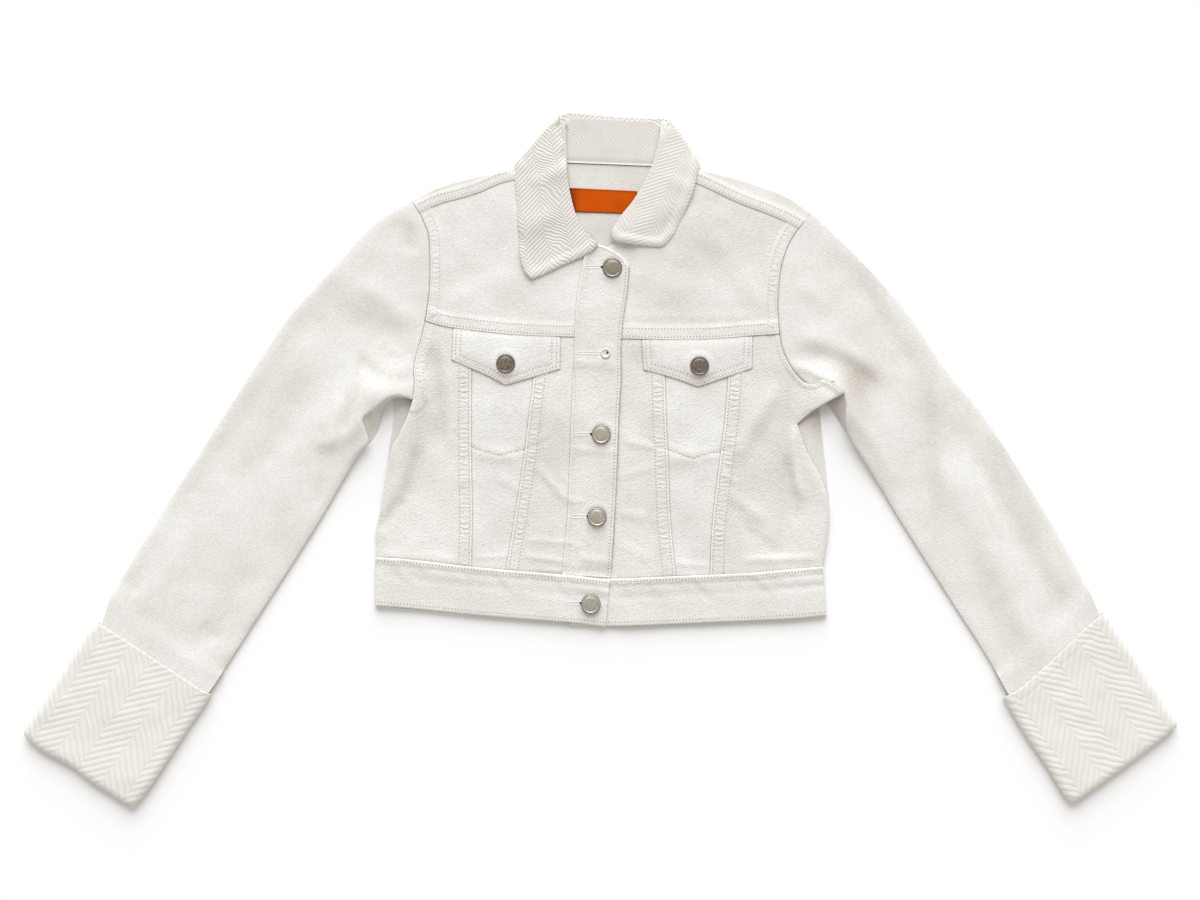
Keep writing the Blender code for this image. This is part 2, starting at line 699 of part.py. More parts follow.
def build_back_yoke():
    """Lower sheet, then round both shoulders to the front shoulder seams."""
    down = 1 - BACK_ARMHOLE_STEPS[::-1]
    left_fold = sampled(SHOULDER_FOLD["left"], SHOULDER_STEPS)
    right_fold = sampled(SHOULDER_FOLD["right"], SHOULDER_STEPS)[::-1]
    neck = sampled(BACK_NECK, NECK_STEPS)
    shoulder = len(SHOULDER_STEPS)
    top_line = np.vstack([left_fold, neck[1:-1], right_fold])
    top_line[shoulder:-shoulder, 1] -= NECK_GAP / 2
    shorten(top_line, shoulder - 1, shoulder - 2, NECK_GAP)
    shorten(top_line, -shoulder, 1 - shoulder, NECK_GAP)
    seam = sampled(BACK_YOKE_SEAM, shares(top_line))
    left = sampled(BACK_ARMHOLE_YOKE["left"][::-1], down)
    right = sampled(BACK_ARMHOLE_YOKE["right"][::-1], down)
    grid = inset(patch(seam, top_line, left, right), "first start end")
    columns = len(top_line)
    neck_columns = np.arange(shoulder - 1, columns - shoulder + 1)
    grid[-1, neck_columns] += inward(grid[-1], grid[-2], SEAM_GAP / 2)[neck_columns]
    lower_height = BACK_DENIM / 2 + fall_lift(grid[..., 0], grid[..., 1])
    fold = grid[-1]
    seam_line = np.array(fold)
    seam_line[:shoulder] = sampled(SHOULDER_SEAM["left"], SHOULDER_STEPS)
    seam_line[columns - shoulder :] = sampled(SHOULDER_SEAM["right"], SHOULDER_STEPS)[::-1]
    outward = outward_of(fold, (0.0, 100.0))
    upper_height = cloth_top(fold[:, 0], fold[:, 1]) - DENIM / 2
    bend = bend_rows(fold, upper_height, lower_height[-1], outward)[::-1]
    radius = (upper_height - lower_height[-1]) / 2
    pulled = fold - outward * radius[:, None]
    strip = []
    for share in (0.5, 1.0):
        place = pulled + (seam_line + outward * SEAM_GAP / 2 - pulled) * share
        shorten(place, 0, 1, SEAM_GAP)
        shorten(place, -1, -2, SEAM_GAP)
        shorten(place, shoulder - 1, shoulder - 2, NECK_GAP)
        shorten(place, columns - shoulder, columns - shoulder + 1, NECK_GAP)
        strip.append(np.column_stack([place, cloth_top(place[:, 0], place[:, 1]) - DENIM / 2]))
    sheet = np.dstack([grid, lower_height])
    flat_rows = sheet[:-1]
    last_flat = sheet[-1:].copy()
    middle = np.concatenate([flat_rows, bend, np.stack(strip)])
    rows = len(middle)
    cells = np.ones((rows - 1, columns - 1), bool)
    cells[len(flat_rows) :, shoulder - 1 : columns - shoulder] = False
    middle[len(flat_rows), neck_columns[1:-1]] = last_flat[0, neck_columns[1:-1]]
    thicken("back_yoke", middle, BACK_DENIM, "denim", cells)


def build_back_body():
    sides = {}
    for side in ("left", "right"):
        armhole = sampled(BACK_ARMHOLE_SIDE[side], evenly(6))
        sides[side] = joined(armhole, sampled(BACK_EDGE[side], evenly(6)))
    across = evenly(4)
    grid = patch(
        sampled(BACK_YOKE_SEAM, across), sampled(BAND_BACK_UPPER, across), sides["left"], sides["right"]
    )
    grid = inset(grid, gap=SEAM_GAP)
    lay_sheet("back_body", grid, np.full(grid.shape[:2], BACK_DENIM), BACK_DENIM, "denim")


def build_back_band():
    across = evenly(10)
    ends = [np.array([BAND_BACK_UPPER[k], BAND_BACK_LOWER[k]]) for k in (0, -1)]
    grid = inset(patch(sampled(BAND_BACK_UPPER, across), sampled(BAND_BACK_LOWER, across), *ends))
    lay_sheet("waistband_back", grid, np.full(grid.shape[:2], FOLDED_DENIM), FOLDED_DENIM, "denim")


# ---------------------------------------------------------------- the fronts


def between(knots, start, end, count):
    """Even points along part of a curve, from the share start to the share end."""
    return sampled(knots, np.linspace(start, end, count + 1))


def share_at(knots, point):
    """Share of a curve's length at which it passes nearest to a point."""
    line = smooth_line(knots)
    nearest = np.argmin(np.linalg.norm(line - np.array(point), axis=1))
    return shares(line)[nearest]


# Shares of an edge's length at which the grids that meet there have their points
NECK_STEPS = evenly(6)
SHOULDER_STEPS = evenly(8)
BACK_ARMHOLE_STEPS = np.array([0.0, 0.15, 0.3, 0.42, 0.7, 1.0])
YOKE_STEPS = np.array([0.0, 0.07, 0.18, 0.32, 0.46, 0.6, 0.74, 0.87, 1.0])
SLEEVE_RINGS = np.array(
    [0.0, 0.03, 0.06, 0.1, 0.15, 0.21, 0.28, 0.36, 0.45, 0.55, 0.65, 0.75, 0.85, 0.93, 0.96, 0.985]
)
CUFF_RINGS = np.array([0.05, 1.0])
SIDE_STEPS = np.array([0.0, 0.14, 0.28, 0.42, 0.56, 0.7, 0.8, 0.9, 1.0])
CUFF_ACROSS = np.array([0.0, 0.03, 0.1, 0.25, 0.42, 0.58, 0.75, 0.9, 0.97, 1.0])
CUFF_DOWN = np.array([0.0, 0.1, 0.3, 0.5, 0.7, 0.9, 0.985, 1.0])


def build_front_yokes():
    across = SHOULDER_STEPS
    left = patch(
        sampled(SHOULDER_SEAM["left"], across),
        sampled(YOKE_SEAM["left"], across),
        sampled(ARMHOLE_YOKE["left"], YOKE_STEPS),
        joined(
            sampled(NECKLINE["left"], evenly(5)), between(PLACKET_LINE, 0.0, LINE_AT_YOKE_LEFT, 3)
        ),
    )
    left = inset(left)
    x, y = left[..., 0], left[..., 1]
    lay_sheet("front_yoke_left", left, cloth_top(x, y), DENIM, "denim")
    right = patch(
        sampled(SHOULDER_SEAM["right"], across)[::-1],
        sampled(YOKE_SEAM["right"], across),
        joined(
            sampled(NECKLINE["right"], evenly(5)),
            between(PLACKET_LINE, LINE_BELOW_TOP, LINE_AT_YOKE_RIGHT, 3),
        ),
        sampled(ARMHOLE_YOKE["right"], YOKE_STEPS),
    )
    right = inset(right)
    x, y = right[..., 0], right[..., 1]
    lay_sheet("front_yoke_right", right, cloth_top(x, y) - placket_sink(x, y), DENIM, "denim")


def build_front_panels():
    """Side fronts, pocket panels and centre fronts, from the yoke seam to the waistband."""
    seams = {}
    for side, pair in (("left", (0, 1)), ("right", (2, 3))):
        seams[side] = []
        for seam in (PANEL_SEAM[k] for k in pair):
            top_share = share_at(YOKE_SEAM[side], seam[0])
            low_share = share_at(BAND_UPPER[side], seam[-1])
            seams[side].append((seam, top_share, low_share))
    rows = evenly(12)
    side_edge = {
        "left": joined(sampled(ARMHOLE_SIDE["left"], SIDE_STEPS), sampled(FRONT_EDGE["left"], evenly(8))),
        "right": joined(
            sampled(ARMHOLE_SIDE["right"], SIDE_STEPS),
            sampled(UNDERARM_TURN, evenly(3)),
            sampled(FRONT_EDGE["right"], evenly(7)),
        ),
    }
    hem_share = {"left": 0.0, "right": 1.0}
    for side in ("left", "right"):
        outer, inner = (0, 1) if side == "left" else (1, 0)
        seam, top_share, low_share = seams[side][outer]
        edge = side_edge[side]
        along = sampled(seam, shares(edge))
        top_run = between(YOKE_SEAM[side], hem_share[side], top_share, 5)
        low_run = between(BAND_UPPER[side], hem_share[side], low_share, 5)
        grid = inset(patch(top_run, low_run, edge, along), gap=0.28)
        x, y = grid[..., 0], grid[..., 1]
        outline = [smooth_line(FRONT_EDGE[side])]
        if side == "right":
            outline.append(smooth_line(UNDERARM_TURN))
        distance = distance_to(joined(*outline[::-1]), x, y)
        top = rounded(distance, cloth_top(x, y), EDGE_TOP)
        lay_sheet(f"side_front_{side}", grid, top, DENIM, "denim")

        (left_seam, left_top, left_low), (right_seam, right_top, right_low) = seams[side]
        grid = patch(
            between(YOKE_SEAM[side], left_top, right_top, 4),
            between(BAND_UPPER[side], left_low, right_low, 4),
            sampled(left_seam, rows),
            sampled(right_seam, rows),
        )
        grid = inset(grid)
        x, y = grid[..., 0], grid[..., 1]
        lay_sheet(f"mid_panel_{side}", grid, cloth_top(x, y), DENIM, "denim")

        seam, top_share, low_share = seams[side][inner]
        line = between(PLACKET_LINE, LINE_BELOW_YOKE, LINE_AT_BAND, 12)
        along = sampled(seam, rows)
        if side == "left":
            top_run = between(YOKE_SEAM[side], top_share, 1.0, 3)
            corner = between(BAND_UPPER[side], low_share, 1.0, 1)[0]
            low_run = sampled((corner, line[-1]), evenly(3))
            grid = patch(top_run, low_run, along, line)
        else:
            top_run = between(YOKE_SEAM[side], 0.0, top_share, 6)
            low_run = between(BAND_UPPER[side], 0.0, low_share, 6)
            line = sampled((top_run[0], line[4], line[8], low_run[0]), rows)
            grid = patch(top_run, low_run, line, along)
        grid = inset(grid)
        x, y = grid[..., 0], grid[..., 1]
        sink = 0.0 if side == "left" else placket_sink(x, y)
        lay_sheet(f"centre_front_{side}", grid, cloth_top(x, y) - sink, DENIM, "denim")


def lay_over(name, grid, carriers, wall, material, reach, least=0.0):
    """A piece that rests on others: its lower face just clears the highest point near each place."""
    x, y = grid[..., 0], grid[..., 1]
    floor = np.maximum(ground(x, y, carriers, reach) + REST_GAP, least)
    lay_sheet(name, grid, floor + wall, wall, material)


def band_grid(side):
    """A front half of the waistband, seen from above."""
    ends = [
        sampled((BAND_UPPER[side][k], BAND_LOWER[side][k]), evenly(3))
        for k in (0, -1)
    ]
    upper = sampled(BAND_UPPER[side], evenly(14))
    lower = sampled(BAND_LOWER[side], evenly(14))
    return inset(patch(upper, lower, *ends))


def build_waistband():
    """The right half sinks towards its end, and the left half lies over that end."""
    grid = band_grid("right")
    x = grid[..., 0]
    out_of_sink = soft_step((x - BAND_SINK_END) / BAND_SINK_RAMP)
    edge = rounded(BAND_END_RIGHT - x, BAND_TOP, BAND_EDGE_TOP)
    sunk = 2 * FOLDED_DENIM + REST_GAP
    lay_sheet("waistband_right", grid, sunk + (edge - sunk) * out_of_sink, FOLDED_DENIM, "denim")
    grid = band_grid("left")
    x, y = grid[..., 0], grid[..., 1]
    free = rounded(x - BAND_END_LEFT, BAND_TOP, BAND_EDGE_TOP)
    over = ground(x, y, ("waistband_right",), BAND_REACH) + REST_GAP + FOLDED_DENIM
    lay_sheet("waistband_left", grid, np.maximum(free, over), FOLDED_DENIM, "denim")


def build_placket():
    count = 18
    top = sampled(PLACKET_TOP, evenly(5))
    corner = sampled((PLACKET_TOP[0], PLACKET_LINE[0]), evenly(1))
    line = joined(corner, sampled(PLACKET_LINE, evenly(count - 1)))
    edge = sampled(PLACKET_EDGE, evenly(count))
    foot = sampled((line[-1], edge[-1]), evenly(5))
    grid = inset(patch(top, foot, line, edge))
    carriers = ("front_yoke_right", "centre_front_right")
    least = CLOTH_TOP - FOLDED_DENIM + REST_GAP
    lay_over("placket", grid, carriers, FOLDED_DENIM, "denim", PLACKET_REACH, least)


def build_flaps():
    for side, edges in FLAP_EDGES.items():
        top = sampled(edges["top"], evenly(8))
        point = edges["point"]
        low = joined(
            sampled(point[: FLAP_TIP + 1], evenly(4)), sampled(point[FLAP_TIP:], evenly(4))
        )
        ends = [sampled(edges[key], evenly(4)) for key in ("side", "other")]
        grid = patch(top, low, *ends)
        grid = inset(grid, "first")
        carriers = [f"{kind}_{side}" for kind in ("side_front", "mid_panel", "centre_front")]
        lay_over(f"flap_{side}", grid, carriers, FOLDED_DENIM, "denim", FLAP_REACH)


# ---------------------------------------------------------------- collar


def build_wrapped_strip(name, arms, back, arm_heights, back_height, wall, material, inside):
    """A strip round the neck: down the left front, under the back and down the right front.

    The point inside lies in the neck opening, so the two folds bulge away from it.
    """
    left_arm = np.dstack([arms["left"], arm_heights["left"]])
    right_arm = np.dstack([arms["right"], arm_heights["right"]])
    back_rows = np.dstack([back, np.full(back.shape[:2], back_height)])
    parts = []
    for arm, fold_row, flip in ((left_arm, back_rows[0], False), (right_arm, back_rows[-1], True)):
        fold = arm[-1, :, :2]
        outward = outward_of(fold, inside)
        bend = bend_rows(fold, arm[-1, :, 2], fold_row[:, 2], outward)
        arm = arm.copy()
        arm[-1] = bend[0]
        side = np.concatenate([arm, bend[1:]])
        parts.append(side[::-1] if flip else side)
    middle = np.concatenate([parts[0], back_rows[1:-1], parts[1]])
    thicken(name, middle, wall, material)


def build_collar_stand():
    across = evenly(3)
    arms = {}
    heights = {}
    for side in ("left", "right"):
        arms[side] = patch(
            sampled((ARM_ROLL[side][0], ARM_SEAM[side][0]), across),
            sampled(STAND_FOLD[side], across),
            sampled(ARM_ROLL[side], evenly(9)),
            sampled(ARM_SEAM[side], evenly(9)),
        )
        arms[side] = inset(arms[side], "end", NECK_GAP)
        rise = soft_step(np.linspace(0.2, 1.4, arms[side].shape[0]))[:, None]
        heights[side] = STAND_LOW + STAND_RISE * rise * np.ones(arms[side].shape[:2])
    back = patch(
        sampled(STAND_FOLD["left"], across),
        sampled(STAND_FOLD["right"], across),
        sampled(STAND_ROLL, NECK_STEPS),
        sampled(BACK_NECK, NECK_STEPS),
    )
    back = inset(back, "end", NECK_GAP / 2)
    back_height = FALL_LIFT + STAND_WALL / 2
    middle = (5.0, 290.0)
    build_wrapped_strip(
        "collar_stand", arms, back, heights, back_height, STAND_WALL, "herringbone", middle
    )


def build_collar_fall():
    across = evenly(6)
    arms = {}
    heights = {}
    carriers = ["front_yoke_left", "front_yoke_right", "back_yoke", "collar_stand", "placket"]
    for side in ("left", "right"):
        arms[side] = patch(
            sampled(LEAF_FRONT[side], across),
            sampled(FALL_FOLD[side], across),
            sampled(LEAF_ROLL[side], evenly(10)),
            sampled(LEAF_OUTER[side], evenly(10)),
        )
        x, y = arms[side][..., 0], arms[side][..., 1]
        resting = ground(x, y, carriers, COLLAR_REACH) + REST_GAP + HEAVY_CLOTH / 2
        rise = soft_step(evenly(10) * 1.4 - 0.2)[:, None]
        heights[side] = np.maximum(resting, LEAF_LEAST + (LEAF_AT_FOLD - LEAF_LEAST) * rise)
    back = patch(
        sampled(FALL_FOLD["left"], across),
        sampled(FALL_FOLD["right"], across),
        sampled(FALL_ROLL, evenly(8)),
        sampled(FALL_BACK_EDGE, evenly(8)),
    )
    back_height = HEAVY_CLOTH / 2
    middle = (5.0, 240.0)
    build_wrapped_strip(
        "collar_fall", arms, back, heights, back_height, HEAVY_CLOTH, "herringbone", middle
    )


def build_label():
    corners = np.array(LABEL_CORNERS, float)
    ends = [corners[[0, 3]], corners[[1, 2]]]
    rows = [sampled(end, evenly(2)) for end in ends]
    upper = sampled(corners[[0, 1]], evenly(5))
    lower = sampled(corners[[3, 2]], evenly(5))
    grid = patch(upper, lower, *rows)
    lay_over("label", grid, ("back_yoke",), LABEL_CLOTH, "label", LABEL_REACH)


# ---------------------------------------------------------------- sleeves and cuffs


def ring_points(knots, cuff_corner):
    """Points of a sleeve edge at its rings: down to the cuff, round the cuff's edge and the end."""
    cuff = share_at(knots, cuff_corner)
    return sampled(knots, np.concatenate([SLEEVE_RINGS * cuff, cuff + (1 - cuff) * CUFF_RINGS]))


def past_cuff_edge(row, cuff_line):
    """Distance of the middle of a sleeve ring past a cuff's free edge, less than 0 before it."""
    point = row[SLEEVE_MIDDLE]
    distance = distance_to(cuff_line, point[0], point[1])
    return distance if is_past(point, cuff_line) else -distance


def build_sleeves():
    for side in ("left", "right"):
        strip = sampled(ARMHOLE_STRIP[side], evenly(1))
        yoke = sampled(ARMHOLE_YOKE[side], YOKE_STEPS)
        flank = sampled(ARMHOLE_SIDE[side], SIDE_STEPS)
        armhole = joined(strip, yoke, flank)
        back_armhole = joined(
            sampled(BACK_ARMHOLE_YOKE[side], BACK_ARMHOLE_STEPS),
            sampled(BACK_ARMHOLE_SIDE[side], evenly(6)),
        )
        outer = ring_points(SLEEVE_OUTER[side], CUFF_FREE_EDGE[side][0])
        under = ring_points(SLEEVE_UNDER[side], CUFF_FREE_EDGE[side][-1])
        back_under = ring_points(SLEEVE_BACK_UNDER[side], CUFF_FREE_EDGE[side][-1])
        end = (outer[-1], under[-1])
        upper = patch(armhole, sampled(end, shares(armhole)), outer, under)
        lower = patch(back_armhole, sampled(end, shares(back_armhole)), outer, back_under)
        upper = np.stack([with_lips(row) for row in inset(upper, "first", SEAM_GAP)])
        lower = np.stack([with_lips(row) for row in inset(lower, "first", SEAM_GAP)])
        cuff_line = smooth_line(CUFF_FREE_EDGE[side])
        past = np.array([past_cuff_edge(row, cuff_line) for row in upper])
        floor = FALL_LIFT * soft_step((past - SLEEVE_LIFT_START) / SLEEVE_LIFT_RAMP)
        edges = [smooth_line(SLEEVE_OUTER[side]), smooth_line(SLEEVE_UNDER[side])]
        x, y = upper[..., 0], upper[..., 1]
        distance = np.minimum(*[distance_to(edge, x, y) for edge in edges])
        calm = soft_step((SLEEVE_CALM_END - past) / SLEEVE_CALM_RAMP)[:, None]
        fill = SLEEVE_FILL * soft_step((past - SLEEVE_FILL_START) / SLEEVE_FILL_RAMP)[:, None]
        level = CLOTH_TOP + (crease_height(x, y) + fall_lift(x, y)) * calm + fill
        top = rounded(distance, level, floor[:, None] + SLEEVE_EDGE)
        outer_rings = []
        inner_rings = []
        for i in range(len(upper)):
            ring = tube_ring(upper[i], lower[i], top[i], floor[i], SLEEVE_FOOT, 0.0, 0.0)
            outer_rings.append(ring)
            inner_row = squeezed(upper[i], DENIM)
            x, y = inner_row[:, 0], inner_row[:, 1]
            distance = np.minimum(*[distance_to(edge, x, y) for edge in edges])
            shape = np.interp(lengths_along(inner_row), lengths_along(upper[i]), level[i])
            inner_top = rounded(np.maximum(distance, DENIM), shape, floor[i] + SLEEVE_EDGE)
            inner_rings.append(tube_ring(upper[i], lower[i], inner_top, floor[i], 0.0, DENIM, DENIM))
        tube_from_rings(f"sleeve_{side}", outer_rings, inner_rings, "denim")


def is_past(point, line):
    """Whether a point lies on the mouth's side of a cuff's free edge."""
    nearest = np.argmin(np.linalg.norm(line - point, axis=1))
    nearest = min(nearest, len(line) - 2)
    run = line[nearest + 1] - line[nearest]
    side = run[0] * (point[1] - line[nearest][1]) - run[1] * (point[0] - line[nearest][0])
    return bool(side < 0) if run[0] > 0 else bool(side > 0)


def cuff_top(row, margin):
    """Upper face of a cuff along a row whose ends lie in from the cuff's edges by the margin."""
    along = lengths_along(row)
    distance = np.minimum(along, along[-1] - along) + margin
    return rounded(distance, CUFF_TOP, CUFF_EDGE, CUFF_ROUND)


def build_cuffs():
    """Tubes that are open where the sleeve comes in, and rounded at the turned mouth."""
    for side in ("left", "right"):
        grid = patch(
            sampled(CUFF_FREE_EDGE[side], CUFF_ACROSS),
            sampled(CUFF_MOUTH[side], CUFF_ACROSS),
            sampled(CUFF_OUTER[side], CUFF_DOWN),
            sampled(CUFF_INNER[side], CUFF_DOWN),
        )
        outer_rings = []
        inner_rings = []
        for row in grid:
            outer_rings.append(tube_ring(row, row, cuff_top(row, 0.0), 0.0, CUFF_FOOT, 0.0, 0.0))
        for row in grid[:-1]:
            top = cuff_top(squeezed(row, HEAVY_CLOTH), HEAVY_CLOTH)
            inner_rings.append(tube_ring(row, row, top, 0.0, 0.0, HEAVY_CLOTH, HEAVY_CLOTH))
        nose = outer_rings[-1]
        nose[:, 2] += np.where(nose[:, 2] > CUFF_HALF, -CUFF_NOSE, CUFF_NOSE)
        tube_from_rings(f"cuff_{side}", outer_rings, inner_rings, "herringbone")


# ---------------------------------------------------------------- buttons


def build_button(button):
    """A round dish, flat at the back, that rests on its carriers."""
    place = (np.array([button.x]), np.array([button.y]))
    base = ground(*place, button.carriers, button.radius)[0] + REST_GAP
    points = []
    for share, height in BUTTON_PROFILE[1:-1]:
        for step in range(BUTTON_SIDES):
            turn = 2 * math.pi * step / BUTTON_SIDES
            radius = share * button.radius
            place = (button.x + radius * math.cos(turn), button.y + radius * math.sin(turn))
            points.append((*place, base + height * button.height))
    points.append((button.x, button.y, base))
    points.append((button.x, button.y, base + BUTTON_PROFILE[-1][1] * button.height))
    back_middle = len(points) - 2
    face_middle = len(points) - 1
    rings = len(BUTTON_PROFILE) - 2
    faces = []
    for step in range(BUTTON_SIDES):
        after = (step + 1) % BUTTON_SIDES
        faces.append((back_middle, after, step))
        for ring in range(rings - 1):
            low = ring * BUTTON_SIDES
            high = low + BUTTON_SIDES
            faces.append((low + step, low + after, high + after, high + step))
        top = (rings - 1) * BUTTON_SIDES
        faces.append((face_middle, top + step, top + after))
    material = "white_plastic" if button.name == "button_2" else "metal"
    add_solid(button.name, points, faces, material)


# ---------------------------------------------------------------- scene


def make_material(name):
    red, green, blue, roughness, metallic = COLOURS[name]
    material = bpy.data.materials.new(name)
    material.use_nodes = True
    shader = material.node_tree.nodes["Principled BSDF"]
    shader.inputs["Base Color"].default_value = (red, green, blue, 1.0)
    shader.inputs["Roughness"].default_value = roughness
    shader.inputs["Metallic"].default_value = metallic
    material.diffuse_color = (red, green, blue, 1.0)
    return material


def make_objects():
    """Turns the solids into objects, with the middle of the garment's outline at the origin."""
    every = np.vstack([solid["points"] for solid in solids.values()])
    low, high = every.min(0), every.max(0)
    shift = np.array([(low[0] + high[0]) / 2, (low[1] + high[1]) / 2, low[2]])
    materials = {name: make_material(name) for name in COLOURS}
    for name, solid in solids.items():
        mesh = bpy.data.meshes.new(name)
        points = (solid["points"] - shift) * MM
        mesh.from_pydata([tuple(point) for point in points], [], solid["faces"])
        mesh.materials.append(materials[solid["material"]])
        mesh.update()
        mesh.shade_smooth()
        mesh.set_sharp_from_angle(angle=math.radians(40))
        bpy.context.scene.collection.objects.link(bpy.data.objects.new(name, mesh))


def main():
    for item in list(bpy.data.objects):
        bpy.data.objects.remove(item)
    build_back_yoke()
    build_back_body()
    build_back_band()
    build_front_yokes()
    build_front_panels()
    build_waistband()
    build_placket()
    build_flaps()
    build_label()
    build_collar_stand()
    build_collar_fall()
    build_sleeves()
    build_cuffs()
    for button in BUTTONS:
        build_button(button)
    make_objects()


main()
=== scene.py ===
"""Looks of the cropped denim jacket that lies flat on its back, front up.

Sizes here are in millimetres and are turned into metres when a mesh is made. x runs to the right of
the garment as seen from above, y up to its collar and z up from the table. Left and right are as seen
from above. Each sewn piece is laid again over its solid, with finer folds, seams and stitches.
"""

import math
from collections import namedtuple

import bpy
import numpy as np
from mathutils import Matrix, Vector
from mathutils.bvhtree import BVHTree


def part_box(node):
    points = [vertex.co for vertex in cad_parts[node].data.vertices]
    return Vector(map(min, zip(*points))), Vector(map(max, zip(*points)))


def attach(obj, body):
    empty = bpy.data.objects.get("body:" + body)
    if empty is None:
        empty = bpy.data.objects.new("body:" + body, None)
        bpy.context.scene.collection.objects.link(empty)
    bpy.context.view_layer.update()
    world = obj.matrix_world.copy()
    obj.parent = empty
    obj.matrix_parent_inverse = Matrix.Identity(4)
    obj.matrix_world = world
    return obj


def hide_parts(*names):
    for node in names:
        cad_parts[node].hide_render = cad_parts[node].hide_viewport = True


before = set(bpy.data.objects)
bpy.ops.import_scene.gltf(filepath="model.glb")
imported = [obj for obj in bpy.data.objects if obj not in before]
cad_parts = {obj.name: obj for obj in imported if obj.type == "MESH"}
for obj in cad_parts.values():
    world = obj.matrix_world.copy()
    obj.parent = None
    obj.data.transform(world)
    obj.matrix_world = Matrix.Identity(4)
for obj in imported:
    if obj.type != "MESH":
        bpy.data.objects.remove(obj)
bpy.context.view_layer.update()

MM = 0.001
SIDES = ("left", "right")

# The photograph: millimetres for each of its pixels, its size, and the pixel at the tables' origin
PIXEL = 0.93
PHOTO_WIDTH = 1200
PHOTO_HEIGHT = 900
PHOTO_ORIGIN = (600.5, 460.0)

# Walls of cloth
DENIM = 1.2
BACK_DENIM = 1.3
FOLDED_DENIM = 1.9
HEAVY_CLOTH = 2.4
LABEL_CLOTH = 0.8

# Gaps and levels
LOWEST = 0.02
SEAM_GAP = 0.36
REST_GAP = 0.35
NECK_GAP = 1.2
CLOTH_TOP = 5.0
EDGE_TOP = 3.5
EDGE_ROUND = 8.0
PLACKET_SINK = 1.7
PLACKET_RAMP = 10.0
BAND_TOP = 5.6
FALL_LIFT = HEAVY_CLOTH + REST_GAP
CUFF_TOP = 9.4
CUFF_EDGE = 0.25
CUFF_SKIN = 1.6
CURVE_STEPS = 12
RELAX_TIMES = 500
BEND_STEPS = 12

# Where the back of the collar starts to lift the cloth over it, and over what length
LIFT_LEFT = -140.0
LIFT_RIGHT = 150.0
LIFT_LOW = 176.0
LIFT_RAMP = 50.0
LIFT_RAMP_UP = 56.0

# Shares of the placket's stitched line at which the pieces beside it begin and end
LINE_BELOW_YOKE = 0.266
LINE_AT_BAND = 0.985

# Waistband
BAND_EDGE_TOP = 4.9
BAND_END_RIGHT = 209.0
BAND_END_LEFT = -209.5
BAND_ROUND = 2.2
BAND_ROUND_DROP = 1.1
BAND_SINK_END = 2.0
BAND_SINK_RAMP = 26.0
BAND_LAP_START = 44.0
BAND_LAP_RAMP = 18.0

# Collar stand
STAND_WALL = 2.0
STAND_LOW = 5.6
STAND_RISE = 1.5

# Sleeves: the edge of the flattened tube, and how it lifts and fills out inside the cuff
SLEEVE_EDGE = 3.3
SLEEVE_SKIN = 0.8
SLEEVE_LIFT_START = -24.0
SLEEVE_LIFT_RAMP = 18.0
SLEEVE_FILL = 0.9
SLEEVE_FILL_START = -30.0
SLEEVE_FILL_RAMP = 25.0
SLEEVE_CALM_END = 6.0
SLEEVE_CALM_RAMP = 40.0

Crease = namedtuple("Crease", "x0 y0 x1 y1 bend width height")
Button = namedtuple("Button", "name x y radius height carriers")

# Seams and edges: x, y of points along each, joined by smooth curves
SHOULDER_FOLD = {
    "left": (
        (-175.3, 241.3), (-149, 254.8), (-121, 262.7), (-95, 268.8), (-84, 268.6), (-74, 268.6),
        (-60, 272), (-46, 279.2),
    ),
    "right": (
        (195.8, 230.6), (171, 246.2), (139, 258.5), (111, 266), (98, 268.4), (87, 269.6), (76, 271.5),
        (63, 276.4),
    ),
}
SHOULDER_SEAM = {
    "left": (
        (-167.9, 230.2), (-149.3, 238.6), (-130.7, 243.4), (-112, 249.2), (-93.5, 257), (-79.5, 260.5),
        (-64, 263), (-49, 269),
    ),
    "right": (
        (184, 215.5), (171, 222.5), (152, 230.5), (134, 237), (116, 245), (97, 254), (82, 260),
        (66, 267),
    ),
}
BACK_NECK = ((-46, 281), (-40, 277.6), (-31, 276.2), (8, 274.6), (47, 273.2), (57, 275.2), (63, 278.8))
BACK_YOKE_SEAM = ((-160.4, 148.8), (-80, 146), (2, 145), (84, 146), (164.6, 148.8))
NECKLINE = {
    "left": ((-49, 269), (-43, 252), (-36, 235), (-28, 218.6), (-20, 206), (-14, 197)),
    "right": ((66, 267), (58.5, 251), (47, 233), (34, 217), (18, 204.6), (2, 196.5), (-14, 189)),
}
ARMHOLE_STRIP = {
    "left": ((-175.3, 241.3), (-167.9, 230.2)),
    "right": ((195.8, 230.6), (184, 215.5)),
}
ARMHOLE_YOKE = {
    "left": (
        (-167.9, 230.2), (-164, 221), (-159.5, 209), (-158.4, 190), (-158.6, 162.8), (-160.2, 146),
        (-162.8, 129.3),
    ),
    "right": (
        (184, 215.5), (178, 206.5), (173.4, 197.2), (167.8, 180), (165, 158), (164.6, 140),
        (166, 117.2),
    ),
}
ARMHOLE_SIDE = {
    "left": ((-162.8, 129.3), (-166.9, 111.6), (-170.7, 100), (-173.6, 84), (-172.8, 70), (-174.4, 55.8)),
    "right": (
        (166, 117.2), (169, 102), (177.2, 85.6), (188, 73), (197, 70.2), (206, 74), (216, 69.5),
        (225.5, 61.4),
    ),
}
BACK_ARMHOLE_YOKE = {
    "left": ((-175.3, 241.3), (-166, 226), (-159.8, 209), (-158.6, 190), (-158.6, 165), (-160.4, 148.8)),
    "right": ((195.8, 230.6), (182, 214), (173.4, 197.2), (167.8, 180), (165, 160), (164.6, 148.8)),
}
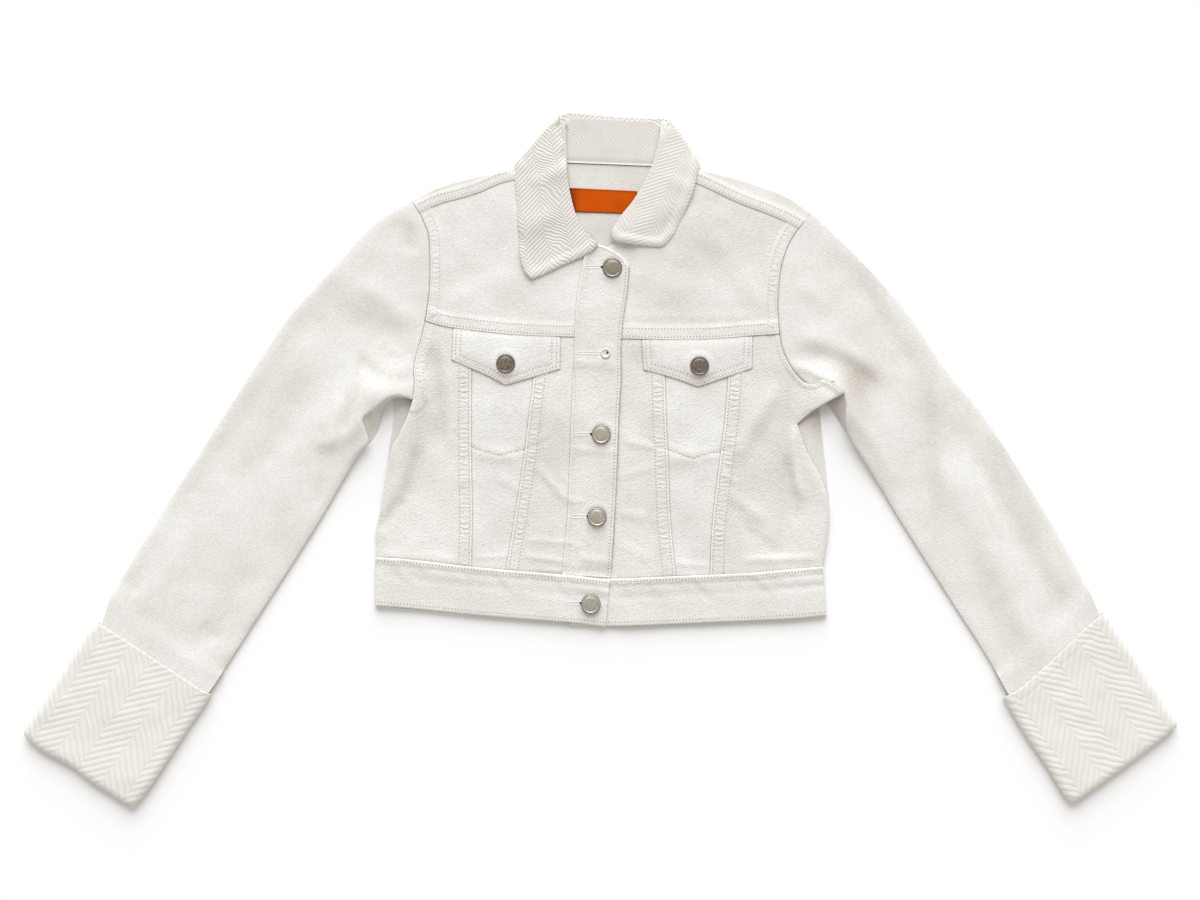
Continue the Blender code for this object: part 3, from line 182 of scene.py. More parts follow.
BACK_ARMHOLE_SIDE = {
    "left": ((-160.4, 148.8), (-163, 128), (-169, 106), (-177, 86), (-185, 72), (-192, 60)),
    "right": ((164.6, 148.8), (167.5, 128), (174, 108), (184, 89), (194, 71.5), (203, 55)),
}
YOKE_SEAM = {
    "left": (
        (-162.8, 129.3), (-144.6, 124.2), (-121.4, 120.9), (-84.2, 116.8), (-50, 115.1), (-24.3, 114.4),
    ),
    "right": (
        (-24.3, 113.6), (19, 112.8), (46, 112.1), (83, 112.1), (111, 113), (140, 115.3), (166, 117.2),
    ),
}
PLACKET_LINE = (
    (-14, 194), (-17.2, 180), (-22.2, 148.8), (-24.3, 114.4), (-25.6, 74.4), (-27.4, 37.2),
    (-29.3, -18.6), (-31.2, -55.8), (-35.8, -106.5),
)
PLACKET_TOP = ((-13, 198), (-2.3, 200.4), (9.8, 195.8), (20, 189.4), (26.3, 180))
PLACKET_EDGE = (
    (26.3, 180), (24.6, 158), (20.5, 130), (18.6, 107), (18.6, 74.4), (16.7, 40), (14.6, -18.6),
    (12.6, -55.8), (9.2, -109.5),
)
# The four long seams of the fronts, from the yoke seam to the waistband, counted from the left
PANEL_SEAM = (
    ((-120.6, 120.8), (-120, 85.6), (-120.2, 45), (-120, 0), (-119.3, -46.5), (-120, -99.2)),
    ((-60, 115.6), (-62.3, 77.2), (-66, 47), (-71, 4), (-77.2, -37.2), (-87.9, -102)),
    ((56.3, 112), (59.8, 78.1), (61, 40), (63.1, -5), (65, -55), (70, -107.9)),
    ((121.4, 113.7), (118.9, 79), (115.5, 36), (109, -15), (103.8, -62), (101.8, -106.9)),
)
FRONT_EDGE = {
    "left": (
        (-174.4, 55.8), (-179, 41.9), (-187, 25.1), (-194.8, 9.3), (-199.5, -14), (-204.1, -41.9),
        (-209, -67.9), (-208.2, -79), (-209.3, -90.2),
    ),
    "right": ((183, 33.5), (191, 10), (203, -12), (211, -33), (212.6, -53), (210.5, -77), (207, -99)),
}
UNDERARM_TURN = ((225.5, 61.4), (212, 54.5), (196, 44.5), (183, 33.5))
BACK_EDGE = {
    "left": ((-191.8, 59.6), (-193, 34), (-196.5, 14), *FRONT_EDGE["left"][4:]),
    "right": ((203, 55), (207, 16), (210.3, -12), (212.4, -33), *FRONT_EDGE["right"][4:]),
}
BAND_UPPER = {
    "left": (
        (-209.3, -90.2), (-186.5, -91.6), (-158.6, -94.4), (-121.4, -99), (-84.2, -102.3),
        (-47, -105.6), (-19, -107.9), (8.8, -111.5),
    ),
    "right": (
        (-26, -110.2), (8.8, -110.2), (36.7, -109.3), (92.5, -107), (120.4, -106), (148.3, -104.2),
        (176.2, -101.4), (207, -99),
    ),
}
BAND_LOWER = {
    "left": (
        (-209.7, -135.6), (-186.5, -137.2), (-140, -141.8), (-112, -144.6), (-65.6, -148.3),
        (-19, -152), (4.4, -155.2),
    ),
    "right": (
        (-28, -154), (5, -154.6), (46, -153.5), (101.8, -151), (157.6, -148.8), (185.5, -147.2),
        (210.4, -144.4),
    ),
}
BAND_BACK_UPPER = ((-209.3, -90.2), (-120, -99), (0, -104), (120, -103), (207, -99))
BAND_BACK_LOWER = ((-209.7, -135.6), (-120, -143.5), (0, -149), (120, -148.5), (210.4, -144.4))

SLEEVE_OUTER = {
    "left": (
        (-175.3, 241.3), (-196, 230.6), (-214.4, 216.7), (-242.3, 186), (-279.5, 146), (-299, 120.9),
        (-335.3, 65.1), (-372.5, 7.4), (-409.7, -51.2), (-446, -110.7), (-458.5, -137), (-463.6, -152),
        (-488, -191.5), (-520.5, -241),
    ),
    "right": (
        (195.8, 230.6), (222.7, 205.5), (259.9, 166.5), (287.8, 134.9), (315.7, 92.1), (352.9, 45.6),
        (390.1, -10.2), (427.3, -71.6), (453.5, -121), (465, -146), (488, -182), (522, -235.5),
    ),
}
SLEEVE_UNDER = {
    "left": (
        (-174.4, 55.8), (-182.2, 58.5), (-190.5, 59.1), (-199, 55.5), (-209, 46.8), (-219.6, 37.7),
        (-217.5, 27), (-215.5, 16), (-226.5, 2.8), (-242.3, -24.2), (-260.9, -55.8), (-279.5, -85.6),
        (-316.7, -143.2), (-352.5, -199), (-361.5, -212.5), (-366, -219), (-394.5, -260), (-425.5, -303),
    ),
    "right": (
        (225.5, 61.4), (227.5, 50), (227, 37), (231, 21), (241.3, 4.7), (259.9, -25.1), (278.5, -55.8),
        (315.7, -114.4), (352.9, -172), (370.5, -202), (379, -217), (405, -257), (430.5, -297.5),
    ),
}
SLEEVE_BACK_UNDER = {
    "left": (
        (-192, 60), (-199, 55.5), (-202.5, 47), (-205, 33), (-210.5, 22), *SLEEVE_UNDER["left"][8:],
    ),
    "right": ((210, 54), (217, 44), (224, 33), (232, 20.5), *SLEEVE_UNDER["right"][4:]),
}
CUFF_FREE_EDGE = {
    "left": (
        (-468, -150.2), (-447, -163.5), (-428.3, -175.3), (-409.7, -187.9), (-391, -200),
        (-372.5, -212), (-361.8, -218),
    ),
    "right": ((468.4, -141.4), (446, -160), (427.3, -178.6), (408.7, -195.3), (390, -212), (374.3, -220.4)),
}
CUFF_OUTER = {
    "left": ((-468, -150.2), (-479.4, -163), (-498, -191.6), (-516.6, -221.3), (-534.6, -248.5)),
    "right": ((468.4, -141.4), (478.5, -155.3), (497, -183.2), (515.7, -212), (535.2, -243)),
}
CUFF_INNER = {
    "left": (
        (-361.8, -218), (-368, -228.5), (-381.8, -248.3), (-400.4, -277), (-419, -305),
        (-431.5, -320.6),
    ),
    "right": ((374.3, -220.4), (379, -229.7), (394.8, -255.8), (413.4, -283.7), (430, -311), (437, -318)),
}
CUFF_MOUTH = {
    "left": (
        (-534.6, -248.5), (-535, -256.5), (-521.3, -269), (-493.4, -284.6), (-474.8, -298.5),
        (-456.2, -310.6), (-438, -321.7), (-431.5, -320.6),
    ),
    "right": (
        (535.2, -243), (534.5, -249), (520.3, -261.3), (501.7, -275.3), (483, -289.2), (464.5, -302.3),
        (444, -316.8), (437, -318),
    ),
}

# The collar: v = 0 is the roll at the neck and v = 1 the outer edge
LEAF_ROLL = {
    "left": (
        (-2.3, 199.5), (-13, 212), (-22, 226), (-27.5, 245), (-31.2, 265), (-33.2, 290), (-35, 310),
        (-40.5, 318),
    ),
    "right": (
        (8, 209.5), (17, 224.5), (31, 242), (41.5, 260.5), (49.5, 279), (55, 302), (57, 314),
        (64.6, 314.5),
    ),
}
LEAF_OUTER = {
    "left": (
        (-64.5, 168), (-70.5, 175), (-74.5, 188), (-76.3, 210), (-78.4, 235), (-79.8, 255),
        (-79.5, 273),
    ),
    "right": ((66, 205), (74.5, 221), (84, 243), (88.5, 258), (90.5, 268), (91.6, 275)),
}
LEAF_FRONT = {
    "left": ((-2.3, 199.5), (-8, 193.5), (-19, 187.4), (-37.7, 179.5), (-54, 171.5), (-64.5, 168)),
    "right": ((8, 209.5), (14, 203), (30, 200), (47, 198), (58, 198.5), (66, 205)),
}
FALL_FOLD = {
    "left": ((-40.5, 318), (-56.3, 300.4), (-74.9, 279.5), (-79.5, 273)),
    "right": ((64.6, 314.5), (75.8, 299.5), (87.9, 282), (91.6, 275)),
}
FALL_ROLL = (
    (-40.5, 318), (-34, 321.8), (-26.5, 322.7), (0, 320.2), (36.7, 318), (57, 317.5), (64.6, 314.5),
)
FALL_BACK_EDGE = ((-79.5, 273), (-68, 256), (-30, 248.5), (5, 247), (42, 248.5), (80, 257), (91.6, 275))
STAND_ROLL = ((-32.5, 314), (-25, 317), (0, 316.4), (36.7, 314.4), (50, 313.2), (56.5, 310))
STAND_FOLD = {
    "left": ((-32.5, 314), (-39.5, 298), (-46, 281)),
    "right": ((56.5, 310), (60.5, 294), (63, 278.8)),
}
ARM_ROLL = {
    "left": ((-11, 209), (-18, 219), (-25, 232), (-29, 250), (-31, 275), (-32, 300), (-32.5, 314)),
    "right": ((13, 211), (21, 222), (34, 240), (44, 259), (51, 278), (55, 299), (56.5, 310)),
}
ARM_SEAM = {
    "left": NECKLINE["left"][4::-1] + BACK_NECK[:1],
    "right": NECKLINE["right"][4::-1] + BACK_NECK[-1:],
}
FLAP_EDGES = {
    "left": dict(
        top=((-136.7, 122.6), (-98, 117.8), (-70, 115.8), (-37.7, 114.6)),
        side=((-136.7, 122.6), (-138, 93)),
        other=((-37.7, 114.6), (-38.1, 84.6)),
        point=((-138, 93), (-121.4, 85.6), (-105, 78.4), (-88.5, 69.6), (-60.9, 77.5), (-38.1, 84.6)),
    ),
    "right": dict(
        top=((38.5, 111.8), (70, 112), (105, 112.6), (141, 114.9)),
        side=((38.5, 111.8), (40.5, 83.7)),
        other=((141, 114.9), (140.4, 85.1)),
        point=((40.5, 83.7), (60, 78.6), (76, 73.5), (90.8, 68.1), (108, 74), (140.4, 85.1)),
    ),
}
FREE_FLAP_EDGES = ("point", "side", "other")
# Place of a flap's tip among the points of its lower edge
FLAP_TIP = 3
LABEL_CORNERS = ((-29, 253), (34, 250), (34, 228.5), (-24, 230.5))

# Folds of the upper cloth: x and y of both ends, bend, width and height
CREASES = (
    (190, 100, 260, 65, 7, 8, -1.9),
    (186, 113, 251, 86, 6, 9, 1.3),
    (180, 87, 226, 62, 4, 5, 1.6),
    (302, 74, 316, -93, 5, 15, -1.3),
    (358, 28, 409, -93, 4, 16, -1.1),
    (362, -102, 390, -205, -4, 12, -1.1),
    (334, 19, 404, -167, -5, 16, 1.4),
    (214, 190, 262, 120, 6, 14, -1.0),
    (232, 40, 272, -20, 4, 8, 1.2),
    (-177, 219, -180, 195, 2, 5, -0.9),
    (-261, 158, -187, 121, -6, 16, -1.1),
    (-218, 40, -262, 14, 5, 8, 1.7),
    (-178, 74, -222, 92, 5, 7, -1.4),
    (-280, 74, -335, -19, 6, 16, -1.1),
    (-252, 40, -300, -50, -6, 14, 1.2),
    (-326, -93, -382, -177, 5, 14, -1.0),
    (-372, -60, -425, -140, -4, 14, 0.9),
    (-163, 56, -187, -56, 5, 9, -1.4),
    (-174, 50, -196, -40, 3, 6, 0.8),
    (180, 28, 187, -33, -3, 5, 1.4),
    (171, 65, 167, -74, 4, 9, -1.3),
    (-140, 172, -70, 150, 5, 18, -0.6),
    (60, 176, 140, 150, -5, 18, 0.6),
    (-45, 20, -50, -70, 3, 7, 0.6),
    (44, 30, 48, -80, -3, 7, -0.6),
    (150, -112, 172, -122, 2, 3.0, 0.6),
    (140, -110, 158, -121, 2, 3.0, -0.6),
)

BUTTONS = (
    Button("button_1", 11.0, 178.7, 9.0, 3.0, ("placket",)),
    Button("button_2", 4.8, 99.2, 4.7, 2.0, ("placket",)),
    Button("button_3", 0.7, 24.0, 8.7, 3.0, ("placket",)),
    Button("button_4", -3.3, -52.7, 8.7, 3.0, ("placket",)),
    Button("button_waist", -9.0, -133.6, 9.0, 3.0, ("waistband_left",)),
    Button("button_flap_left", -88.1, 89.6, 8.7, 3.0, ("flap_left",)),
    Button("button_flap_right", 92.0, 87.4, 8.7, 3.0, ("flap_right",)),
)

# The placket's cut beside each yoke, under the neckline's end
PLACKET_CUT = {
    "left": ((-14, 197), (-14.2, 193), (-17.2, 180), (-22.2, 148.8), (-24.3, 114.4)),
    "right": ((-14, 189), (-17.2, 178), (-22.2, 148.8), (-24.3, 113.6)),
}

# -------- seams

# A sewn seam. The piece named in over lies on top of it with its stitch rows at these distances.
# Pull is how strongly the rows gather the cloth, line_shade how strong the painted shadow and highlight at
# the joint and the painted shade in its needle holes are
Seam = namedtuple("Seam", "line over under rows pull line_shade seed")

PANELS = {side: (f"side_front_{side}", f"mid_panel_{side}", f"centre_front_{side}") for side in SIDES}
SEAMS = (
    Seam(YOKE_SEAM["left"], ("front_yoke_left",), PANELS["left"], (2.2, 9.8), 0.35, 1.0, 3),
    Seam(YOKE_SEAM["right"], ("front_yoke_right",), PANELS["right"], (2.2, 9.8), 0.35, 1.0, 5),
    Seam(SHOULDER_SEAM["left"], ("back_yoke",), ("front_yoke_left",), (1.8, 7.6), 0.5, 0.9, 7),
    Seam(SHOULDER_SEAM["right"], ("back_yoke",), ("front_yoke_right",), (1.8, 7.6), 0.5, 0.9, 9),
    Seam(ARMHOLE_YOKE["left"], ("front_yoke_left",), ("sleeve_left",), (1.6, 9.0), 0.7, 0.4, 11),
    Seam(ARMHOLE_YOKE["right"], ("front_yoke_right",), ("sleeve_right",), (1.6, 9.0), 0.7, 0.45, 13),
    Seam(ARMHOLE_SIDE["left"], ("side_front_left",), ("sleeve_left",), (1.6, 9.0), 0.6, 0.4, 15),
    Seam(ARMHOLE_SIDE["right"], ("side_front_right",), ("sleeve_right",), (1.6,), 0.3, 0.45, 17),
    Seam(PANEL_SEAM[0], ("side_front_left",), ("mid_panel_left",), (2.3, 11.6), 1.0, 0.8, 19),
    Seam(PANEL_SEAM[1], ("centre_front_left",), ("mid_panel_left",), (2.3, 10.8), 1.0, 0.8, 21),
    Seam(PANEL_SEAM[2], ("centre_front_right",), ("mid_panel_right",), (2.3, 12.0), 1.0, 0.8, 23),
    Seam(PANEL_SEAM[3], ("side_front_right",), ("mid_panel_right",), (2.3, 12.2), 1.0, 0.8, 25),
    Seam(BAND_UPPER["left"], ("waistband_left",), PANELS["left"], (3.1,), 1.0, 1.35, 27),
    Seam(BAND_UPPER["right"], ("waistband_right",), PANELS["right"], (3.1,), 1.3, 1.35, 29),
    Seam(PLACKET_LINE, ("placket",), ("centre_front_left", "front_yoke_left"), (2.6,), 0.3, 0.25, 31),
)
# Stitch rows along an edge of one piece: the edge and the distances in from it
EDGE_ROWS = (
    ("waistband_left", BAND_LOWER["left"], (3.7,)),
    ("waistband_right", BAND_LOWER["right"], (3.7,)),
    *((f"flap_{side}", FLAP_EDGES[side][key], (2.8, 7.4)) for side in SIDES for key in FREE_FLAP_EDGES),
    ("placket", PLACKET_EDGE, (2.4,)),
    ("placket", PLACKET_TOP, (2.4,)),
)
# Rows that hold the pocket bags behind the fronts
POCKET_BAGS = {
    "left": (
        (-137, 26), (-133, 21), (-127, 17), (-120, 12.5), (-107, 8), (-93, 4.6), (-84, 7), (-71, 10),
        (-61, 13), (-49, 18.6),
    ),
    "right": (
        (45, 20.5), (48, 16), (55, 12), (63, 9.6), (71, 7), (85, 2), (92, 3.7), (102, 6.5), (112, 8),
        (118, 10), (131, 14),
    ),
}
# Edges that lie on other pieces, with those pieces: a thin line of painted shadow is put beside them
PAINTED_CONTACT_SHADOWS = (
    *((FLAP_EDGES[side][key], PANELS[side]) for side in SIDES for key in FREE_FLAP_EDGES),
    (PLACKET_EDGE, ("centre_front_right", "front_yoke_right")),
    (YOKE_SEAM["left"], ("flap_left",)),
    (YOKE_SEAM["right"], ("flap_right",)),
)
LAP = 0.75
LAP_ROUND = 0.9
STITCH_LENGTH = 2.1
STITCH_PITCH = 3.0
STITCH_RADIUS = 0.33
STITCH_LIFT = 0.02
STITCH_LOWEST = 2.0
# Painted shade in the needle holes between stitches, and its share on edge rows and on pocket-bag rows
HOLE_SHADE = 3.6
EDGE_DOTS = 0.85
BAG_DOTS = 0.9
LADDER_PITCH = 4.7
SINGLE_ROW = 8.0

# Folds as the photograph shows them: both ends in its pixels, then bend, width and height
FOLDS_SEEN = (
    # left front
    (434, 352, 440, 445, 2, 7, -2.2),
    (420, 372, 427, 402, 0, 3, 1.2),
    (418, 450, 404, 498, 0, 6, -1.2),
    (402, 500, 378, 528, 0, 6, -1.5),
    (380, 556, 460, 562, 0, 6, 0.8),
    (474, 455, 515, 458, 1, 7, 0.9),
    (500, 478, 522, 492, 0, 5, 0.7),
    (488, 405, 512, 415, 0, 8, 0.5),
    (536, 466, 567, 500, 0, 4, 0.9),
    (528, 540, 566, 543, 0, 3.5, 0.6),
    (525, 556, 566, 562, 0, 3, 0.7),
    (472, 558, 508, 556, 0, 2.5, 0.5),
    # placket
    (572, 449, 616, 452, 0, 4, 0.7),
    (575, 362, 618, 366, 0, 5, 0.7),
    (568, 500, 585, 502, 0, 3, 0.5),
    (566, 541, 582, 548, 0, 2.5, 0.3),
    (580, 558, 610, 562, 0, 4, 0.8),
    (580, 570, 612, 572, 0, 3, -0.5),
    # right front
    (628, 442, 655, 447, 0, 4, 0.7),
    (668, 460, 716, 456, 1, 8, 1.0),
    (776, 390, 735, 457, 0, 9, 2.2),
    (786, 460, 797, 520, 0, 6, -1.2),
    (793, 430, 799, 495, -2, 3.5, 1.2),
    (728, 492, 762, 520, 0, 6, 1.0),
    (722, 474, 738, 484, 0, 3, 0.5),
    (745, 527, 782, 556, 0, 6, -0.8),
    (745, 560, 815, 558, 0, 4, 1.0),
    (676, 563, 708, 566, 0, 3, 0.6),
    (620, 478, 652, 466, 0, 4, 0.5),
    (620, 512, 645, 518, 0, 5, 0.7),
    (622, 545, 650, 560, 0, 5, 0.5),
    # yokes
    (448, 303, 512, 272, 0, 8, 0.5),
    (432, 208, 436, 250, 0, 5, -0.54),
    (452, 215, 454, 262, 0, 5, -0.54),
    (715, 235, 768, 312, 0, 8, 0.62),
    (700, 246, 752, 320, 0, 8, -0.45),
    (704, 184, 796, 222, 0, 8, 0.54),
    (664, 252, 684, 262, 0, 6, 0.36),
    (778, 258, 796, 268, 0, 6, 0.41),
    (632, 316, 755, 316, 0, 4, 0.27),
    # left sleeve
    (362, 285, 412, 322, 0, 10, 1.36),
    (350, 322, 404, 336, 0, 10, -0.74),
    (378, 372, 418, 366, 0, 9, 0.74),
    (388, 350, 404, 354, 0, 4, 0.43),
    (362, 360, 342, 440, 0, 5, -1.24),
    (340, 400, 330, 450, 0, 4, 0.74),
    (326, 440, 320, 500, 0, 5, -0.87),
    (322, 300, 190, 495, 0, 10, -0.74),
    (124, 578, 137, 592, 0, 7, -0.62),
    (204, 624, 217, 640, 0, 7, -0.62),
    (112, 612, 214, 678, 0, 8, 0.74),
    (396, 222, 414, 252, 0, 7, -0.74),
    # right sleeve
    (800, 286, 830, 308, 0, 9, 0.93),
    (796, 332, 850, 338, 0, 9, 0.5),
    (798, 346, 890, 374, 4, 8, 0.45),
    (812, 374, 842, 379, 0, 4, 0.5),
    (928, 385, 938, 520, 0, 7, -0.93),
    (938, 455, 1035, 655, 0, 12, 1.49),
    (962, 435, 1070, 620, 0, 10, -1.24),
    (862, 285, 918, 372, 0, 8, -0.93),
    (1092, 604, 996, 684, 0, 8, 0.74),
)

# Where the cloth stands up over the armpits, and painted shade where it sinks out of the light below
# them (one spot paints light): x, y, reach and the millimetres of height or the share of painted shade there
ARMPIT_RISES = (
    (-201.0, 62.0, 24.0, 11.5),
    (-218.0, 28.0, 38.0, 5.5),
    (222.0, 56.0, 25.0, 11.5),
    (238.0, 22.0, 38.0, 5.5),
)
ARMPIT_SHADES = ((-212.0, 30.0, 14.0, -0.6), (214.0, 36.0, 21.0, 0.8), (203.0, 36.0, 10.0, 0.5))

# Darker and paler places of the cloth: x, y, reach and shade. The first two paint shade on the lit
# slopes over the armpits, the two right of the placket paint its shadow; the rest only make places paler or
# darker
TONES_AND_PAINTED_SHADE = (
    # painted shade on the lit slopes of the folds over the armpits
    (-203.0, 84.0, 15.0, 0.3),
    (238.0, 74.0, 20.0, 1.8),
    (-95.0, 185.0, 48.0, -0.3),
    (100.0, 180.0, 48.0, 0.25),
    (150.0, -10.0, 42.0, 0.3),
    (-45.0, 0.0, 30.0, 0.45),
    # painted shadow right of the placket
    (34.0, 163.0, 14.0, 0.5),
    (38.0, 100.0, 12.0, 0.45),
    (-5.0, 160.0, 26.0, -0.35),
    (-10.0, 60.0, 20.0, -0.3),
    (-20.0, -20.0, 20.0, -0.3),
    (-89.0, -56.0, 24.0, 0.35),
    (88.0, -56.0, 24.0, 0.35),
    (-165.0, -66.0, 34.0, -0.35),
    (176.0, -79.0, 24.0, -0.35),
)

LUMPS = ((95.0, 0.8, 1), (38.0, 0.8, 2), (17.0, 0.3, 3), (8.5, 0.07, 4))

# Steps of the fine grids
STEP = 1.6
SLEEVE_STEP = 2.5
HIDDEN_STEP = 4.0
EDGE_STEPS = (0.0, 0.35, 0.8, 1.4)
FINE_GAP = 0.12


# -------- curves and grids


def plan(grid):
    """x and y of a grid or row of points."""
    return grid[..., 0], grid[..., 1]


def evenly(count):
    """Fractions of a length at even steps."""
    return np.linspace(0.0, 1.0, count + 1)


def smooth_line(knots):
    """Fine points along a Catmull-Rom curve through the knots."""
    knots = np.array(knots, float)
    if len(knots) == 2:
        return knots
    padded = np.vstack([2 * knots[0] - knots[1], knots, 2 * knots[-1] - knots[-2]])
    steps = np.linspace(0.0, 1.0, CURVE_STEPS, endpoint=False)[:, None]
    runs = []
    for before, start, end, after in zip(padded, padded[1:], padded[2:], padded[3:]):
        linear = (end - before) * steps
        square = (2 * before - 5 * start + 4 * end - after) * steps**2
        cube = (3 * start - before - 3 * end + after) * steps**3
        runs.append(0.5 * (2 * start + linear + square + cube))
    return np.vstack(runs + [knots[-1:]])


def lengths_along(line):
    """Distance of each point from the first, along the line."""
    return np.concatenate([[0.0], np.cumsum(np.linalg.norm(np.diff(line, axis=0), axis=1))])


def on_line(line, fractions):
    """Points at fractions of the length of a line that is fine already."""
    along = lengths_along(line)
    wanted = np.asarray(fractions) * along[-1]
    return np.stack([np.interp(wanted, along, line[:, axis]) for axis in range(line.shape[1])], 1)


def sampled(knots, fractions):
    """Points at fractions of the length of the curve through the knots."""
    return on_line(smooth_line(knots), fractions)


def joined(*lines):
    """Lines that meet end to end, as one."""
    return np.vstack([lines[0]] + [line[1:] for line in lines[1:]])


def patch(first, last, start, end):
    """Grid between four edges: first and last run along its columns, start and end along its rows."""
    across = 0.5 * (shares(first) + shares(last))[None, :, None]
    down = 0.5 * (shares(start) + shares(end))[:, None, None]
    rows = (1 - down) * first[None] + down * last[None]
    columns = (1 - across) * start[:, None] + across * end[:, None]
    near = (1 - across) * first[0] + across * first[-1]
    far = (1 - across) * last[0] + across * last[-1]
    return rows + columns - ((1 - down) * near + down * far)


def four_sided(first, last, start, end, across, down):
    """Patch between four curves: first and last are sampled at across, start and end at down."""
    return patch(sampled(first, across), sampled(last, across), sampled(start, down), sampled(end, down))


def stretched(values, rows, columns, new_rows, new_columns):
    """A grid of values at some rows and columns, worked out at others."""
    wide = np.stack([np.interp(new_columns, columns, row) for row in values])
    return np.stack([np.interp(new_rows, rows, wide[:, k]) for k in range(wide.shape[1])], 1)


def untangled(first, last, start, end, across):
    """A patch whose lines don't cross: relaxed on a coarse grid, and moved by what that changes.

    The lines start and end hold one point for each row. The others are sampled at across.
    """
    rows = np.linspace(0, len(start) - 1, 71).round().astype(int)
    columns = evenly(26)
    coarse = patch(on_line(first, columns), on_line(last, columns), start[rows], end[rows])
    moved = coarse.copy()
    for _ in range(RELAX_TIMES):
        over = (moved[1:-1, 2:] - moved[1:-1, :-2]) / 2
        along = (moved[2:, 1:-1] - moved[:-2, 1:-1]) / 2
        wide = np.sum(over**2, -1)[..., None]
        tall = np.sum(along**2, -1)[..., None]
        skew = np.sum(over * along, -1)[..., None]
        beside = moved[1:-1, 2:] + moved[1:-1, :-2]
        beyond = moved[2:, 1:-1] + moved[:-2, 1:-1]
        crossed = moved[2:, 2:] - moved[2:, :-2] - moved[:-2, 2:] + moved[:-2, :-2]
        target = (tall * beside + wide * beyond - skew * crossed / 2) / (2 * (tall + wide))
        moved[1:-1, 1:-1] += 0.8 * (target - moved[1:-1, 1:-1])
    grid = patch(on_line(first, across), on_line(last, across), start, end)
    change = moved - coarse
    numbers = np.arange(len(start))
    for axis in range(2):
        grid[..., axis] += stretched(change[..., axis], rows, columns, numbers, across)
    return grid


def shares(line):
    """Share of the line's length at each of its points."""
    along = lengths_along(line)
    return along / along[-1]


def sideways_of(line):
    """Unit directions across a line, at each of its points."""
    run = np.gradient(line, axis=0)
    sideways = np.stack([-run[:, 1], run[:, 0]], 1)
    return sideways / np.linalg.norm(sideways, axis=1)[:, None]


def inward(line, beside, gap):
    """Steps that move the points of a line sideways by the gap, towards the line or point beside it."""
    sideways = sideways_of(line)
    towards = np.sign(np.sum((beside - line) * sideways, axis=1))[:, None]
    return sideways * towards * gap


def spaced(length, step=STEP):
    """Fractions of a length at about even steps, with closer ones at both ends."""
    near = np.array(EDGE_STEPS)
    first = near[-1] + step / 2
    count = max(int((length - 2 * first) / step), 2)
    middle = np.linspace(first, length - first, count + 1)
    return np.concatenate([near, middle, (length - near)[::-1]]) / length


def length_of(*lines):
    """Greatest length of some lines."""
    return max(lengths_along(smooth_line(line))[-1] for line in lines)


def inset(grid, sides="first last start end", gap=FINE_GAP / 2):
    """The grid with the named sides pulled in by the gap."""
    moved = grid.copy()
    if "first" in sides:
        moved[0] += inward(grid[0], grid[1], gap)
    if "last" in sides:
        moved[-1] += inward(grid[-1], grid[-2], gap)
    if "start" in sides:
        moved[:, 0] += inward(grid[:, 0], grid[:, 1], gap)
    if "end" in sides:
        moved[:, -1] += inward(grid[:, -1], grid[:, -2], gap)
    return moved


def between(knots, start, end, fractions):
    """Points along part of a curve, from the share start to the share end."""
    return sampled(knots, start + (end - start) * np.asarray(fractions))


def share_at(knots, point):
    """Share of a curve's length at which it passes nearest to a point."""
    line = smooth_line(knots)
    nearest_point = np.argmin(np.linalg.norm(line - np.array(point), axis=1))
    return shares(line)[nearest_point]


def chained(*runs):
    """One fine line through curves that meet end to end."""
    return joined(*[smooth_line(run) for run in runs])


# -------- heights


def hump(distance, width):
    """Bell curve: 1 where the distance is nothing, and nearly 0 from twice the width on."""
    return np.exp(-((distance / width) ** 2))


def round_off(distance, radius):
    """Share by which a round edge falls: 1 at the edge and 0 from the radius on."""
    return 1 - np.sqrt(1 - np.clip(1 - distance / radius, 0, 1) ** 2)


def soft_step(value):
    """Smooth rise from 0 at 0 to 1 at 1."""
    value = np.clip(value, 0.0, 1.0)
    return value * value * (3 - 2 * value)


def cloud(x, y, size, seed):
    """Smooth lumps between -1 and 1, about the size across."""
    lattice = np.random.default_rng(seed).uniform(-1, 1, (64, 64))
    u = np.asarray(x) / size + 20.37
    v = np.asarray(y) / size + 31.71
    i = np.floor(u).astype(int)
    j = np.floor(v).astype(int)
    fu = soft_step(u - i)
    fv = soft_step(v - j)
    low = lattice[i % 64, j % 64] * (1 - fu) + lattice[(i + 1) % 64, j % 64] * fu
    high = lattice[i % 64, (j + 1) % 64] * (1 - fu) + lattice[(i + 1) % 64, (j + 1) % 64] * fu
    return low * (1 - fv) + high * fv


def crease_height(x, y, creases):
    """Sum of the listed ridges and troughs."""
    total = np.zeros_like(x)
    for crease in creases:
        run = np.array([crease.x1 - crease.x0, crease.y1 - crease.y0])
        length = np.linalg.norm(run)
        run = run / length
        along = (x - crease.x0) * run[0] + (y - crease.y0) * run[1]
        beside = (y - crease.y0) * run[0] - (x - crease.x0) * run[1]
        share = along / length
        bowed = beside - crease.bend * 4 * share * (1 - share)
        fade = soft_step(share * 3 + 0.5) * soft_step((1 - share) * 3 + 0.5)
        total += crease.height * fade * hump(bowed, crease.width)
    return total


def fall_lift(x, y):
    """How far the back of the collar lifts what lies over it."""
    sides = soft_step((x - LIFT_LEFT) / LIFT_RAMP) * soft_step((LIFT_RIGHT - x) / LIFT_RAMP)
    return FALL_LIFT * sides * soft_step((y - LIFT_LOW) / LIFT_RAMP_UP)


def lumps(x, y):
    """Slight unevenness of washed cloth."""
    return sum(height * cloud(x, y, size, seed) for size, height, seed in LUMPS)


